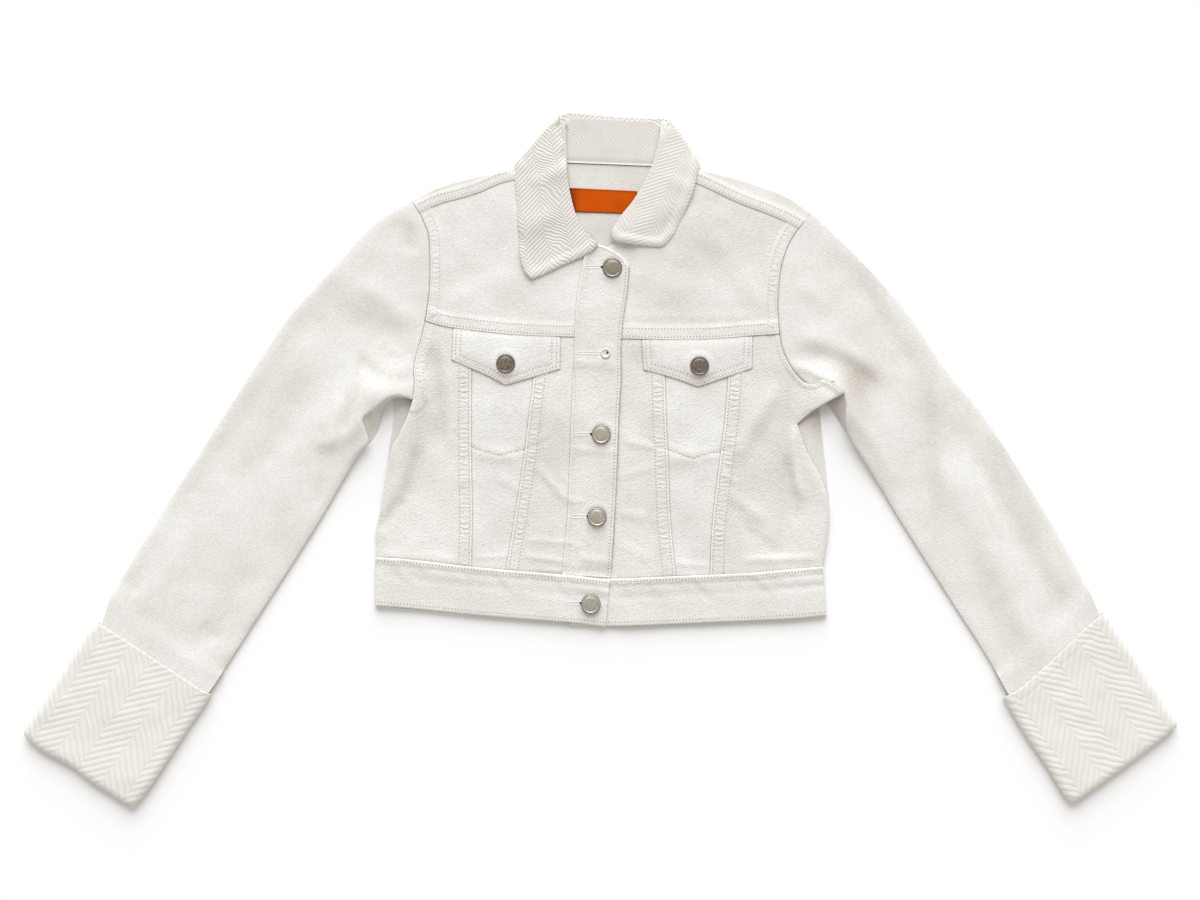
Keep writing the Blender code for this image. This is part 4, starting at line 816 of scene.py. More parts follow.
def in_millimetres(folds):
    """Folds placed in the photograph's pixels, in the tables' coordinates."""
    moved = []
    for fold in map(Crease._make, folds):
        x0, x1 = [(x - PHOTO_ORIGIN[0]) * PIXEL for x in (fold.x0, fold.x1)]
        y0, y1 = [(PHOTO_ORIGIN[1] - y) * PIXEL for y in (fold.y0, fold.y1)]
        moved.append(Crease(x0, y0, x1, y1, fold.bend, fold.width, fold.height))
    return tuple(moved)


ALL_FOLDS = tuple(map(Crease._make, CREASES)) + in_millimetres(FOLDS_SEEN)


def spots(x, y, table):
    """Sum of round soft spots: x, y, reach and strength of each."""
    total = np.zeros_like(x)
    for middle_x, middle_y, reach, strength in table:
        total += strength * hump(np.hypot(x - middle_x, y - middle_y), reach)
    return total


def cloth_top(x, y):
    """Upper face of the fronts and sleeves, away from their edges and seams."""
    folds = crease_height(x, y, ALL_FOLDS) + spots(x, y, ARMPIT_RISES)
    return CLOTH_TOP + folds + fall_lift(x, y) + lumps(x, y)


def fold_shade(x, y):
    """Painted shade in the troughs of the folds, with the spots of the tone table, some of them painted
    shade too.
    """
    return 0.22 * np.clip(-crease_height(x, y, ALL_FOLDS), 0.0, 2.5) + spots(x, y, TONES_AND_PAINTED_SHADE)


def nearest(line, x, y, reach=24.0):
    """Distance to a line and the length along it there. Beyond the reach they aren't worked out."""
    low = line.min(0) - reach
    high = line.max(0) + reach
    close = (x > low[0]) & (x < high[0]) & (y > low[1]) & (y < high[1])
    distance = np.full(x.shape, 1e3)
    along = np.zeros(x.shape)
    points = np.stack([x[close], y[close]], -1)[:, None, :]
    start = line[:-1]
    run = line[1:] - start
    spans = np.linalg.norm(run, axis=1)
    share = np.clip(np.sum((points - start) * run, -1) / spans**2, 0, 1)
    foot = start + share[..., None] * run
    gaps = np.linalg.norm(points - foot, axis=-1)
    best = np.argmin(gaps, axis=1)
    picked = np.arange(len(best))
    distance[close] = gaps[picked, best]
    along[close] = lengths_along(line)[best] + share[picked, best] * spans[best]
    return distance, along


def away_from(knots, x, y):
    """Distance to the curve through the knots."""
    return nearest(smooth_line(knots), x, y)[0]


def edge_reach(x, y):
    """How far in an edge is rounded: less over the armpits, where it is a sharp fold."""
    return EDGE_ROUND * (1 - 0.6 * np.clip(spots(x, y, ARMPIT_RISES) / 5.0, 0, 1))


def rounded(distance, middle, edge, reach=EDGE_ROUND):
    """Height that falls in a round from middle to edge as the distance goes to nothing."""
    share = np.clip(distance / reach, 0, 1)
    return edge + (middle - edge) * np.sqrt(1 - (1 - share) ** 2)


def placket_sink(x, y):
    """How far the right front is pressed down under the placket."""
    line = smooth_line(PLACKET_LINE)
    edge = smooth_line(PLACKET_EDGE)
    left = np.interp(-y, -line[:, 1], line[:, 0])
    right = np.interp(-y, -edge[:, 1], edge[:, 0])
    past_left = soft_step((x - left + PLACKET_RAMP) / PLACKET_RAMP)
    before_right = soft_step((right + PLACKET_RAMP - x) / PLACKET_RAMP)
    return PLACKET_SINK * past_left * before_right


def seam_relief(piece, x, y):
    """Height that the seams add to a piece, with its painted light and shade: a highlight along the lapped
    edge of the piece over a seam, and a shadow line beside it on the piece under it.
    """
    height = np.zeros_like(x)
    shade = np.zeros_like(x)
    for seam in SEAMS:
        over = piece in seam.over
        if not over and piece not in seam.under:
            continue
        distance, along = nearest(smooth_line(seam.line), x, y)
        pulls = seam.pull * cloud(along, 0 * along + 3.0, 9.0, seam.seed)
        if over:
            last = seam.rows[-1]
            height += LAP * (1 - soft_step((distance - last - 1.0) / 3.0))
            height -= 0.5 * np.clip(1 - distance / LAP_ROUND, 0, 1) ** 2
            height += 0.16 * pulls * (1 - soft_step((distance - last) / 9.0))
            # painted highlight along the lapped edge
            shade -= 0.75 * seam.line_shade * hump(distance - 0.7, 0.8)
        else:
            height += 0.22 * pulls * np.exp(-distance / 7.0)
            height -= 0.3 * hump(distance, 2.5)
            # painted shadow line beside the lapped edge
            shade += 1.5 * seam.line_shade * hump(distance, 0.9)
    return height, shade


def edge_shade(piece, x, y):
    """Painted shadow lines beside the edges that lie on a piece, paler colour along its own stitched edges,
    and painted light round its buttons against the shade at their feet.
    """
    shade = np.zeros_like(x)
    for line, pieces in PAINTED_CONTACT_SHADOWS:
        if piece in pieces:
            distance = away_from(line, x, y)
            # painted shadow beside each edge that lies on the piece
            shade += 1.5 * hump(distance, 1.1)
    for owner, line, _ in EDGE_ROWS:
        if owner == piece:
            distance = away_from(line, x, y)
            shade -= 0.45 * hump(distance, 1.2)
    # painted light in a ring round each button, which lightens the shade at its foot
    for button in BUTTONS:
        away = np.hypot(x - button.x, y - button.y) - button.radius
        shade -= 0.5 * hump(away - 0.8, 1.3)
    return shade


def seam_place(piece, x, y):
    """Where each point lies along and across its nearest seam, for the material to sew there.

    The vector holds the length along the seam, the share of the way from the first row of
    stitches to the last, and the millimetres between those rows. The numbers are the pull and
    how strong the painted shade in the needle's holes is.
    """
    best = np.full(x.shape, 1e3)
    place = np.zeros((*x.shape, 3))
    place[..., 1] = 9.0
    place[..., 2] = 9.0
    pull = np.zeros(x.shape)
    dots = np.zeros(x.shape)
    works = [(seam.line, seam.rows, seam.pull, seam.line_shade) for seam in SEAMS if piece in seam.over]
    works += [(edge, rows, 0.0, EDGE_DOTS) for owner, edge, rows in EDGE_ROWS if owner == piece]
    if piece.startswith("mid_panel"):
        works += [(line, (0.0,), 0.0, BAG_DOTS) for line in POCKET_BAGS.values()]
    for line, rows, strength, holes in works:
        fine = smooth_line(line)
        distance, along = nearest(fine, x, y)
        beside = (along > 0.0) & (along < lengths_along(fine)[-1])
        closer = (distance < best) & beside
        best[closer] = distance[closer]
        width = rows[-1] - rows[0] if len(rows) > 1 else SINGLE_ROW
        across = (distance - rows[0]) / width
        reached = np.full(x.shape, strength)
        if len(rows) == 1:
            reached = strength * (1 - soft_step(across))
            across = np.minimum(across, 0.5)
        place[closer] = np.stack([along, across, np.full(x.shape, width)], -1)[closer]
        pull[closer] = reached[closer]
        dots[closer] = HOLE_SHADE * holes
    return place, pull, dots


def bag_rows(x, y):
    """Relief and shade of the rows that hold the pocket bags."""
    height = np.zeros_like(x)
    shade = np.zeros_like(x)
    for line in POCKET_BAGS.values():
        distance = away_from(line, x, y)
        height -= 0.25 * hump(distance, 1.3)
        height += 0.12 * hump(distance - 4.0, 2.4)
        shade += 0.9 * hump(distance, 0.9)
    return height, shade


# -------- meshes


def table_shift():
    """Where the tables' origin lies in the frame, from the one solid that is round."""
    low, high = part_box("button_3")
    centre = (np.array(low) + np.array(high)) / 2 / MM
    button = next(button for button in BUTTONS if button.name == "button_3")
    return np.array([centre[0] - button.x, centre[1] - button.y, 0.0])


SHIFT = table_shift()


def add_object(name, data):
    """A new object in the scene."""
    made = bpy.data.objects.new(name, data)
    bpy.context.scene.collection.objects.link(made)
    return made


def make_piece(name, points, faces, material, slot, node=None, uv=None, marks=None, sharp=50.0):
    """A piece of the garment, in the frame, that rides on the garment's one body."""
    mesh = bpy.data.meshes.new(name)
    points = (np.asarray(points, float) + SHIFT) * MM
    mesh.from_pydata(points.tolist(), [], faces)
    mesh.materials.append(MATERIALS[material])
    mesh.update()
    if uv is not None:
        corners = np.zeros(len(mesh.loops), int)
        mesh.loops.foreach_get("vertex_index", corners)
        layer = mesh.uv_layers.new(name="cloth")
        layer.data.foreach_set("uv", (np.asarray(uv)[corners] / 100.0).ravel())
    for label, values in (marks or {}).items():
        vector = values.ndim > 1
        mark = mesh.attributes.new(label, "FLOAT_VECTOR" if vector else "FLOAT", "POINT")
        mark.data.foreach_set("vector" if vector else "value", values.ravel())
    mesh.shade_smooth()
    mesh.set_sharp_from_angle(angle=math.radians(sharp))
    piece = add_object(name, mesh)
    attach(piece, "root")
    if node:
        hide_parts(node)
    return piece


def grid_faces(rows, columns, first=0):
    """Four-sided faces of a grid of points that are numbered row by row."""
    i, j = np.meshgrid(np.arange(rows - 1), np.arange(columns - 1), indexing="ij")
    corner = (first + i * columns + j).ravel()
    return np.stack([corner, corner + columns, corner + columns + 1, corner + 1], 1)


def rim_faces(rows, columns, below):
    """Faces round the edge of two grids of points, one numbered from 0 and one from below."""
    index = np.arange(rows * columns).reshape(rows, columns)
    loop = np.concatenate([index[0, :-1], index[:-1, -1], index[-1, :0:-1], index[:0:-1, 0]])
    after = np.roll(loop, -1)
    return np.stack([loop, after, after + below, loop + below], 1)


def marks_of(shade, place=None, pull=None, dots=None, times=2):
    """Marks for the points of a piece whose upper and lower grids are numbered alike."""
    if place is None:
        place = np.zeros((*shade.shape, 3)) + 9.0
    if pull is None:
        pull = np.zeros(shade.shape)
    if dots is None:
        dots = np.zeros(shade.shape)
    return {
        "seam_dots": np.tile(dots.ravel(), times),
        "seam_shade": np.tile(shade.ravel(), times),
        "seam_place": np.tile(place.reshape(-1, 3), (times, 1)),
        "seam_pull": np.tile(pull.ravel(), times),
    }


def closed_faces(rows, columns):
    """Faces of a wall between an upper and a lower grid of points, numbered one after the other."""
    count = rows * columns
    over = grid_faces(rows, columns)
    under = grid_faces(rows, columns, count)[:, ::-1]
    rim = rim_faces(rows, columns, count)[:, ::-1]
    return np.concatenate([over, under, rim])


def both_faces(upper, lower):
    """The points of two grids, one after the other."""
    return np.concatenate([upper.reshape(-1, 3), lower.reshape(-1, 3)])


def make_wall(name, upper, lower, material, slot, marks=None):
    """A closed wall of cloth between an upper and a lower grid of points."""
    points = both_faces(upper, lower)
    faces = closed_faces(*upper.shape[:2])
    if np.cross(upper[1, 0] - upper[0, 0], upper[0, 1] - upper[0, 0])[2] < 0:
        faces = faces[:, ::-1]
    return make_piece(f"{name}_cloth", points, faces.tolist(), material, slot, name, points[:, :2], marks)


def along_axis(points, axis):
    """Coordinates across and along a straight axis given by two of its points."""
    start, end = np.array(axis[0], float), np.array(axis[1], float)
    run = (end - start) / np.linalg.norm(end - start)
    across = (points - start) @ np.array([run[1], -run[0]])
    return np.stack([across, (points - start) @ run], 1)


def cut_of(upper):
    """Width, length and area of a grid of points laid flat, in metres."""
    across = np.linalg.norm(np.diff(upper, axis=1), axis=2).sum(1).max() * MM
    down = np.linalg.norm(np.diff(upper, axis=0), axis=2).sum(0).max() * MM
    first = upper[1:, 1:] - upper[:-1, :-1]
    second = upper[1:, :-1] - upper[:-1, 1:]
    area = np.linalg.norm(np.cross(first, second), axis=2).sum() / 2 * MM * MM
    return (across, down), min(area, across * down)


def lay_cloth(name, grid, top, wall, material, marks, slot="denim"):
    """A flat-lying piece: its grid seen from above, its upper height and its wall."""
    upper = np.dstack([grid, top])
    lower = np.dstack([grid, np.maximum(top - wall, LOWEST)])
    piece = make_wall(name, upper, lower, material, slot, marks)
    flat, area = cut_of(upper)


# -------- materials


class Value:
    """A value in a node tree. Arithmetic with it adds Math nodes."""

    def __init__(self, tree, socket):
        self.tree = tree
        self.socket = socket

    def math(self, operation, *others):
        return math_node(self.tree, operation, self, *others)

    def __add__(self, other):
        return self.math("ADD", other)

    def __sub__(self, other):
        return self.math("SUBTRACT", other)

    def __rsub__(self, other):
        return math_node(self.tree, "SUBTRACT", other, self)

    def __mul__(self, other):
        return self.math("MULTIPLY", other)

    def __truediv__(self, other):
        return self.math("DIVIDE", other)

    def __pow__(self, other):
        return self.math("POWER", other)

    def at_least(self, other):
        return self.math("MAXIMUM", other)

    def at_most(self, other):
        return self.math("MINIMUM", other)


def feed(socket, value):
    """Sets a socket to a number, or links a value to it."""
    if isinstance(value, Value):
        value.tree.links.new(value.socket, socket)
    else:
        socket.default_value = value


def math_node(tree, operation, *operands):
    """What a Math node makes of values or numbers."""
    node = tree.nodes.new("ShaderNodeMath")
    node.operation = operation
    for socket, operand in zip(node.inputs, operands):
        feed(socket, operand)
    return Value(tree, node.outputs[0])


def outputs_of(tree, node):
    """The outputs of a node, by name."""
    return {socket.name: Value(tree, socket) for socket in node.outputs}


def new_group(name, inputs, outputs):
    """An empty node group, the values of its inputs and the sockets of its outputs.

    The inputs hold a number by name, or None for a vector. The outputs are names of numbers.
    """
    group = bpy.data.node_groups.new(name, "ShaderNodeTree")
    for label, number in inputs.items():
        kind = "NodeSocketVector" if number is None else "NodeSocketFloat"
        socket = group.interface.new_socket(label, in_out="INPUT", socket_type=kind)
        if number is not None:
            socket.default_value = number
    for label in outputs:
        group.interface.new_socket(label, in_out="OUTPUT", socket_type="NodeSocketFloat")
    source = group.nodes.new("NodeGroupInput")
    target = group.nodes.new("NodeGroupOutput")
    return group, outputs_of(group, source), target.inputs


def noise(vector, scale, detail=2.0, roughness=0.5):
    """A noise texture at a vector."""
    node = vector.tree.nodes.new("ShaderNodeTexNoise")
    settings = dict(Scale=scale, Detail=detail, Roughness=roughness, Vector=vector)
    for label, value in settings.items():
        feed(node.inputs[label], value)
    return Value(vector.tree, node.outputs["Fac"])


def mapped(vector, scale=(1, 1, 1), turn=0.0):
    """The vector scaled and turned about z, by a Mapping node."""
    node = vector.tree.nodes.new("ShaderNodeMapping")
    for label, number in (("Scale", scale), ("Rotation", (0, 0, turn)), ("Vector", vector)):
        feed(node.inputs[label], number)
    return Value(vector.tree, node.outputs["Vector"])


def split(vector):
    """The three numbers of a vector."""
    node = vector.tree.nodes.new("ShaderNodeSeparateXYZ")
    feed(node.inputs[0], vector)
    return [Value(vector.tree, socket) for socket in node.outputs]


def centred(value, gain):
    """A noise value moved to lie about 0 and multiplied."""
    return (value - 0.5) * gain


def mark_of(tree, label, output="Fac"):
    """A mark of the mesh's points, by its name."""
    mark = tree.nodes.new("ShaderNodeAttribute")
    mark.attribute_name = label
    return Value(tree, mark.outputs[output])


def half_wave(turns, operation="COSINE"):
    """Smooth wave from 0 to 1 and back, once for each whole turn."""
    return (turns * (2 * math.pi)).math(operation) * 0.5 + 0.5


def twill_group():
    """Diagonal weave of washed denim: a height in millimetres, and a mask of painted shade in its hollows.
    """
    group, given, wanted = new_group("washed twill", dict(Vector=None, Strength=1.0), ("Height", "Hollows"))
    vector = given["Vector"]
    streaks = noise(mapped(mapped(vector, turn=math.radians(-40)), (24, 64, 1)), 1.0)
    dapple, grain = noise(vector, 17.0), noise(vector, 62.0, 1.0)
    both = centred(streaks, 0.42) + centred(dapple, 0.13) + centred(grain, 0.3)
    feed(wanted["Height"], both * given["Strength"])
    feed(wanted["Hollows"], (0.1 - both).at_least(0.0))
    return group


def sewing_group():
    """Rows of stitches and the ladder of small pulls between them: a height in millimetres, and a mask of
    painted shade in the pulls' hollows and the needle holes.
    """
    inputs = dict(Place=None, Pull=0.0, Dots=0.0)
    group, given, wanted = new_group("rows and pulls", inputs, ("Height", "Dark"))
    place = given["Place"]
    along, across, width = split(place)
    drift = centred(noise(mapped(place, (0.05, 0, 0)), 1.0, 1.0), 2.2)
    drift += centred(noise(mapped(place, (0.16, 1.3, 0)), 1.0, 1.0), 1.3)
    wave = half_wave(along / LADDER_PITCH + drift)
    power = (noise(mapped(place, (0.031, 0, 0)), 1.0) - 0.36) * 3.4
    inside = (across * (1.0 - across) * 4.6).at_most(1.0).at_least(0.0)
    strength = inside * power.at_least(0.2).at_most(1.0) * given["Pull"]
    to_row = across.math("ABSOLUTE").at_most((across - 1.0).math("ABSOLUTE"))
    near = (1.0 - to_row * width / 0.85).at_least(0.0)
    holes = half_wave(along / STITCH_PITCH) ** 4.0
    feed(wanted["Height"], wave * strength * 0.5 - near * 0.02)
    feed(wanted["Dark"], (1.0 - wave) * strength * 0.11 + near * holes * given["Dots"])
    return group


def herringbone_group():
    """Ribs that lean one way in one column and the other way in the next, and a mask of painted shade
    between them.
    """
    inputs = dict(Vector=None, Column=0.25, Pitch=0.08, Lean=1.0, Sharpness=0.7, Wander=0.07)
    group, given, wanted = new_group("herringbone ribs", inputs, ("Height", "Hollows"))
    vector = given["Vector"]
    wander = centred(noise(vector, 3.2), given["Wander"])
    across, down, _ = split(vector)
    column = (across + wander) / given["Column"]
    parity = column.math("FLOOR").math("MODULO", 2.0)
    shifted = down + wander + column.math("PINGPONG", 1.0) * (given["Column"] * given["Lean"])
    ribs = half_wave(shifted / given["Pitch"] + parity * 0.5, "SINE")
    beads = noise(mapped(vector, (60, 60, 1)), 1.0, 1.0)
    height = ribs ** given["Sharpness"] + centred(beads, 0.5)
    feed(wanted["Height"], height)
    feed(wanted["Hollows"], (0.75 - height).at_least(0.0))
    return group


def tone_and_shade_group():
    """Uneven tone of washed cloth, with painted shade and light from the mesh's marks (lines along seams and
    edges, folds, armpits), the weave's hollows and the sewing, as a share of full colour.
    """
    inputs = dict(Vector=None, Seams=0.3, Hollows=0.0, Weave=0.2, Sewing=0.0, Patches=0.34, Base=1.0)
    group, given, wanted = new_group("tone and painted shade", inputs, ("Shade",))
    uneven = centred(noise(given["Vector"], 2.2, 3.0), given["Patches"])
    shade = mark_of(group, "seam_shade") * given["Seams"] + given["Hollows"] * given["Weave"] + uneven
    feed(wanted["Shade"], given["Base"] - (shade + given["Sewing"] * 0.5))
    return group


GROUPS = {
    "twill": twill_group(),
    "sewing": sewing_group(),
    "herringbone": herringbone_group(),
    "tone_and_shade": tone_and_shade_group(),
}


def place_group(tree, name, **values):
    """Puts a node group in a material, with its inputs by name. Returns its outputs by name."""
    node = tree.nodes.new("ShaderNodeGroup")
    node.node_tree = GROUPS[name]
    for label, value in values.items():
        feed(node.inputs[label], value)
    return outputs_of(tree, node)


# What the colour of cotton is multiplied by in its deepest shade
DARK_TONE = (0.46, 0.41, 0.34)


def base_material(name, colour, roughness, specular=0.5, sheen=0.0, metallic=0.0):
    """A material with a Principled shader. Returns it, its tree and the shader."""
    material = bpy.data.materials.new(name)
    material.use_nodes = True
    tree = material.node_tree
    shader = tree.nodes["Principled BSDF"]
    shader.inputs["Base Color"].default_value = (*colour, 1.0)
    shader.inputs["Roughness"].default_value = roughness
    shader.inputs["Specular IOR Level"].default_value = specular
    shader.inputs["Sheen Weight"].default_value = sheen
    shader.inputs["Metallic"].default_value = metallic
    material.diffuse_color = (*colour, 1.0)
    return material, tree, shader


def times(colour, tone):
    """A colour multiplied by a tone."""
    return tuple(c * t for c, t in zip(colour, tone))


def tinted(shader, colour, dark, share):
    """Base colour between a dark tone and the full colour, by share."""
    mix = share.tree.nodes.new("ShaderNodeMix")
    mix.data_type = "RGBA"
    mix.inputs["A"].default_value = (*dark, 1.0)
    mix.inputs["B"].default_value = (*colour, 1.0)
    feed(mix.inputs["Factor"], share)
    share.tree.links.new(mix.outputs["Result"], shader.inputs["Base Color"])


def bumped(shader, height, distance, strength=1.0):
    """Surface relief from a height."""
    bump = height.tree.nodes.new("ShaderNodeBump")
    for label, value in (("Distance", distance), ("Strength", strength), ("Height", height)):
        feed(bump.inputs[label], value)
    height.tree.links.new(bump.outputs["Normal"], shader.inputs["Normal"])


def cloth_vector(tree):
    """Places on the cloth as it was cut."""
    cloth = tree.nodes.new("ShaderNodeUVMap")
    cloth.uv_map = "cloth"
    return Value(tree, cloth.outputs["UV"])


def object_vector(tree):
    """Places in the object, for what is turned or made of thread."""
    return Value(tree, tree.nodes.new("ShaderNodeTexCoord").outputs["Object"])


def denim(name, colour, relief=1.0):
    """Washed cotton twill."""
    material, tree, shader = base_material(name, colour, 0.9, 0.15, 0.05)
    vector = cloth_vector(tree)
    twill = place_group(tree, "twill", Vector=vector, Strength=relief)
    place = mark_of(tree, "seam_place", "Vector")
    pull, dots = mark_of(tree, "seam_pull"), mark_of(tree, "seam_dots")
    sewing = place_group(tree, "sewing", Place=place, Pull=pull, Dots=dots)
    tones = dict(Hollows=twill["Hollows"], Sewing=sewing["Dark"])
    tone_and_shade = place_group(tree, "tone_and_shade", Vector=vector, Seams=0.34, Weave=1.0, Base=0.87, **tones)
    tinted(shader, colour, times(colour, DARK_TONE), tone_and_shade["Shade"])
    bumped(shader, twill["Height"] + sewing["Height"], MM)
    return material


def herringbone(name, colour, column, pitch, lean, depth, weave, wander=0.07):
    """Heavy ribbed herringbone cotton. Column and pitch are in millimetres."""
    material, tree, shader = base_material(name, colour, 0.92, 0.2, 0.08)
    vector = cloth_vector(tree)
    sizes = dict(Column=column / 100, Pitch=pitch / 100, Lean=lean, Wander=wander)
    ribs = place_group(tree, "herringbone", Vector=vector, **sizes)
    calm = 1.0 - mark_of(tree, "seam_pull")
    tone_and_shade = place_group(tree, "tone_and_shade", Vector=vector, Seams=0.3, Hollows=ribs["Hollows"] * calm, Weave=weave)
    tinted(shader, colour, times(colour, DARK_TONE), tone_and_shade["Shade"])
    bumped(shader, ribs["Height"] * calm, depth * MM)
    return material


def worn_metal(name, colour, dark):
    """Grey bronze of a tack button, darker where it is worn."""
    material, tree, shader = base_material(name, colour, 0.38, metallic=0.85)
    stains = noise(object_vector(tree), 620.0, 3.0, 0.6)
    tinted(shader, colour, dark, ((stains - 0.3) * 2.0).at_most(1.0))
    feed(shader.inputs["Roughness"], stains * 0.3 + 0.25)
    bumped(shader, stains, 0.0001, 0.5)
    return material


def orange_label(name, colour):
    """Woven strip with fine cross ribs."""
    material, tree, shader = base_material(name, colour, 0.8, 0.05)
    vector = cloth_vector(tree)
    threads = noise(mapped(vector, (240, 60, 1)), 1.0)
    tone_and_shade = place_group(tree, "tone_and_shade", Vector=vector, Seams=0.6, Hollows=threads, Weave=0.2)
    tinted(shader, colour, times(colour, (0.35,) * 3), tone_and_shade["Shade"])
    bumped(shader, threads, 0.0002, 0.6)
    return material


def plain(name, colour, roughness, detail):
    """A smooth finish with a little unevenness, for thread and plastic."""
    material, tree, shader = base_material(name, colour, roughness)
    tinted(shader, colour, times(colour, (0.8,) * 3), noise(object_vector(tree), detail))
    return material


MATERIALS = {
    "yoke": denim("denim yokes", (0.887, 0.874, 0.842), 0.75),
    "panel": denim("denim panels", (0.868, 0.852, 0.814), 1.1),
    "mid": denim("denim pocket panels", (0.90, 0.891, 0.866), 1.0),
    "sleeve": denim("denim sleeves", (0.881, 0.868, 0.836), 0.5),
    "band": denim("denim bands", (0.864, 0.85, 0.817), 1.0),
    "inside": denim("denim inside", (0.827, 0.802, 0.764), 0.35),
    "back": denim("denim back", (0.83, 0.814, 0.774), 0.35),
    "cuff": herringbone("herringbone cuffs", (0.805, 0.78, 0.74), 25.0, 8.2, 1.1, 0.24, 0.22),
    "collar": herringbone("herringbone collar", (0.79, 0.76, 0.705), 19.5, 3.9, 0.8, 0.33, 0.34, 0.16),
    "stand": herringbone("herringbone stand", (0.775, 0.74, 0.69), 17.0, 2.8, 1.0, 0.2, 0.3, 0.12),
    "label": orange_label("orange label", (0.61, 0.09, 0.002)),
    "metal": worn_metal("bronze buttons", (0.475, 0.425, 0.345), (0.305, 0.27, 0.215)),
    "pale_metal": worn_metal("pale bronze buttons", (0.72, 0.665, 0.57), (0.46, 0.425, 0.355)),
    "dark_metal": worn_metal("dark bronze buttons", (0.385, 0.32, 0.255), (0.13, 0.11, 0.088)),
    # dark rims that paint the shade and dark reflection at a button's foot
    "rim": plain("dark rims painted as shade", (0.10, 0.08, 0.062), 0.6, 300.0),
    "thread": plain("cotton thread", (0.92, 0.905, 0.88), 0.8, 900.0),
    "plastic": plain("white plastic", (0.80, 0.785, 0.75), 0.4, 300.0),
    # dark discs that paint the shade inside holes
    "hole": plain("dark eyelets", (0.06, 0.045, 0.035), 0.8, 300.0),
}


# -------- fronts


def front_cloth(name, grid, top, wall, material, rows_too=False):
    """Lays a piece of the front with its seams' relief and shade."""
    x, y = plan(grid)
    relief, shade = seam_relief(name, x, y)
    shade += fold_shade(x, y) + edge_shade(name, x, y)
    if rows_too:
        bags, bag_shade = bag_rows(x, y)
        relief = relief + bags
        shade = shade + bag_shade * (1.0 if "mid" in name else 0.3)
    marks = marks_of(shade, *seam_place(name, x, y))
    lay_cloth(name, grid, top + relief, wall, material, marks)


def front_top(side, x, y):
    """Upper face of a front, which on the right sinks under the placket."""
    top = cloth_top(x, y)
    return top - placket_sink(x, y) if side == "right" else top


def build_front_yokes():
    for side in SIDES:
        neck = chained(NECKLINE[side], PLACKET_CUT[side])
        armhole = smooth_line(ARMHOLE_YOKE[side])
        across = spaced(length_of(YOKE_SEAM[side]))
        down = spaced(lengths_along(armhole)[-1])
        edges = [on_line(armhole, down), on_line(neck, down)]
        shoulder = sampled(SHOULDER_SEAM[side], across)
        if side == "right":
            edges = edges[::-1]
            shoulder = sampled(SHOULDER_SEAM[side], 1 - across)
        grid = inset(patch(shoulder, sampled(YOKE_SEAM[side], across), *edges))
        x, y = plan(grid)
        front_cloth(f"front_yoke_{side}", grid, front_top(side, x, y), DENIM, "yoke")


def free_edge(side):
    """The free side of a side front alone."""
    if side == "left":
        return smooth_line(FRONT_EDGE[side])
    return chained(UNDERARM_TURN, FRONT_EDGE[side])


def front_outline(side):
    """The armhole side and the free side of a side front, from the yoke seam to the waistband."""
    return joined(smooth_line(ARMHOLE_SIDE[side]), free_edge(side))


def build_front_panels():
    """Side fronts, pocket panels and centre fronts, from the yoke seam to the waistband."""
    for side, pair in (("left", (0, 1)), ("right", (2, 3))):
        upper, lower = YOKE_SEAM[side], BAND_UPPER[side]
        marks = []
        for k in pair:
            seam = PANEL_SEAM[k]
            marks.append((seam, share_at(upper, seam[0]), share_at(lower, seam[-1])))
        build_side_front(side, upper, lower, marks)
        build_mid_panel(side, upper, lower, marks)
        build_centre_front(side, upper, lower, marks)


def build_side_front(side, upper, lower, marks):
    hem = 0.0 if side == "left" else 1.0
    seam, top_share, low_share = marks[0] if side == "left" else marks[1]
    edge = front_outline(side)
    down = spaced(lengths_along(edge)[-1], 1.5)
    across = spaced(92.0, 1.6)
    along = sampled(seam, down)
    top_run = between(upper, hem, top_share, across)
    low_run = between(lower, hem, low_share, across)
    grid = inset(patch(top_run, low_run, on_line(edge, down), along))
    x, y = plan(grid)
    distance = nearest(free_edge(side), x, y)[0]
    edge = EDGE_TOP - 0.6 + spots(x, y, ARMPIT_RISES)
    top = rounded(distance, cloth_top(x, y), edge, edge_reach(x, y))
    front_cloth(f"side_front_{side}", grid, top, DENIM, "panel", rows_too=True)


def build_mid_panel(side, upper, lower, marks):
    (left_seam, left_top, left_low), (right_seam, right_top, right_low) = marks
    across = spaced(62.0)
    down = spaced(length_of(left_seam))
    top_run = between(upper, left_top, right_top, across)
    low_run = between(lower, left_low, right_low, across)
    grid = inset(patch(top_run, low_run, sampled(left_seam, down), sampled(right_seam, down)))
    x, y = plan(grid)
    front_cloth(f"mid_panel_{side}", grid, cloth_top(x, y), DENIM, "mid", rows_too=True)


def build_centre_front(side, upper, lower, marks):
    down = spaced(length_of(PANEL_SEAM[1]))
    if side == "left":
        seam, top_share, low_share = marks[1]
        line = between(PLACKET_LINE, LINE_BELOW_YOKE, LINE_AT_BAND, down)
        across = spaced(52.0)
        top_run = between(upper, top_share, 1.0, across)
        line[-1] = between(lower, share_at(lower, PLACKET_LINE[-1]), 1.0, (0.0,))[0]
        low_run = between(lower, low_share, share_at(lower, PLACKET_LINE[-1]), across)
        grid = patch(top_run, low_run, sampled(seam, down), line)
    else:
        seam, top_share, low_share = marks[0]
        across = spaced(90.0)
        top_run = between(upper, 0.0, top_share, across)
        low_run = between(lower, 0.0, low_share, across)
        inner = between(PLACKET_LINE, LINE_BELOW_YOKE, LINE_AT_BAND, evenly(12))
        line = sampled((top_run[0], inner[4], inner[8], low_run[0]), down)
        grid = patch(top_run, low_run, line, sampled(seam, down))
    grid = inset(grid)
    top = front_top(side, *plan(grid))
    front_cloth(f"centre_front_{side}", grid, top, DENIM, "panel", rows_too=True)


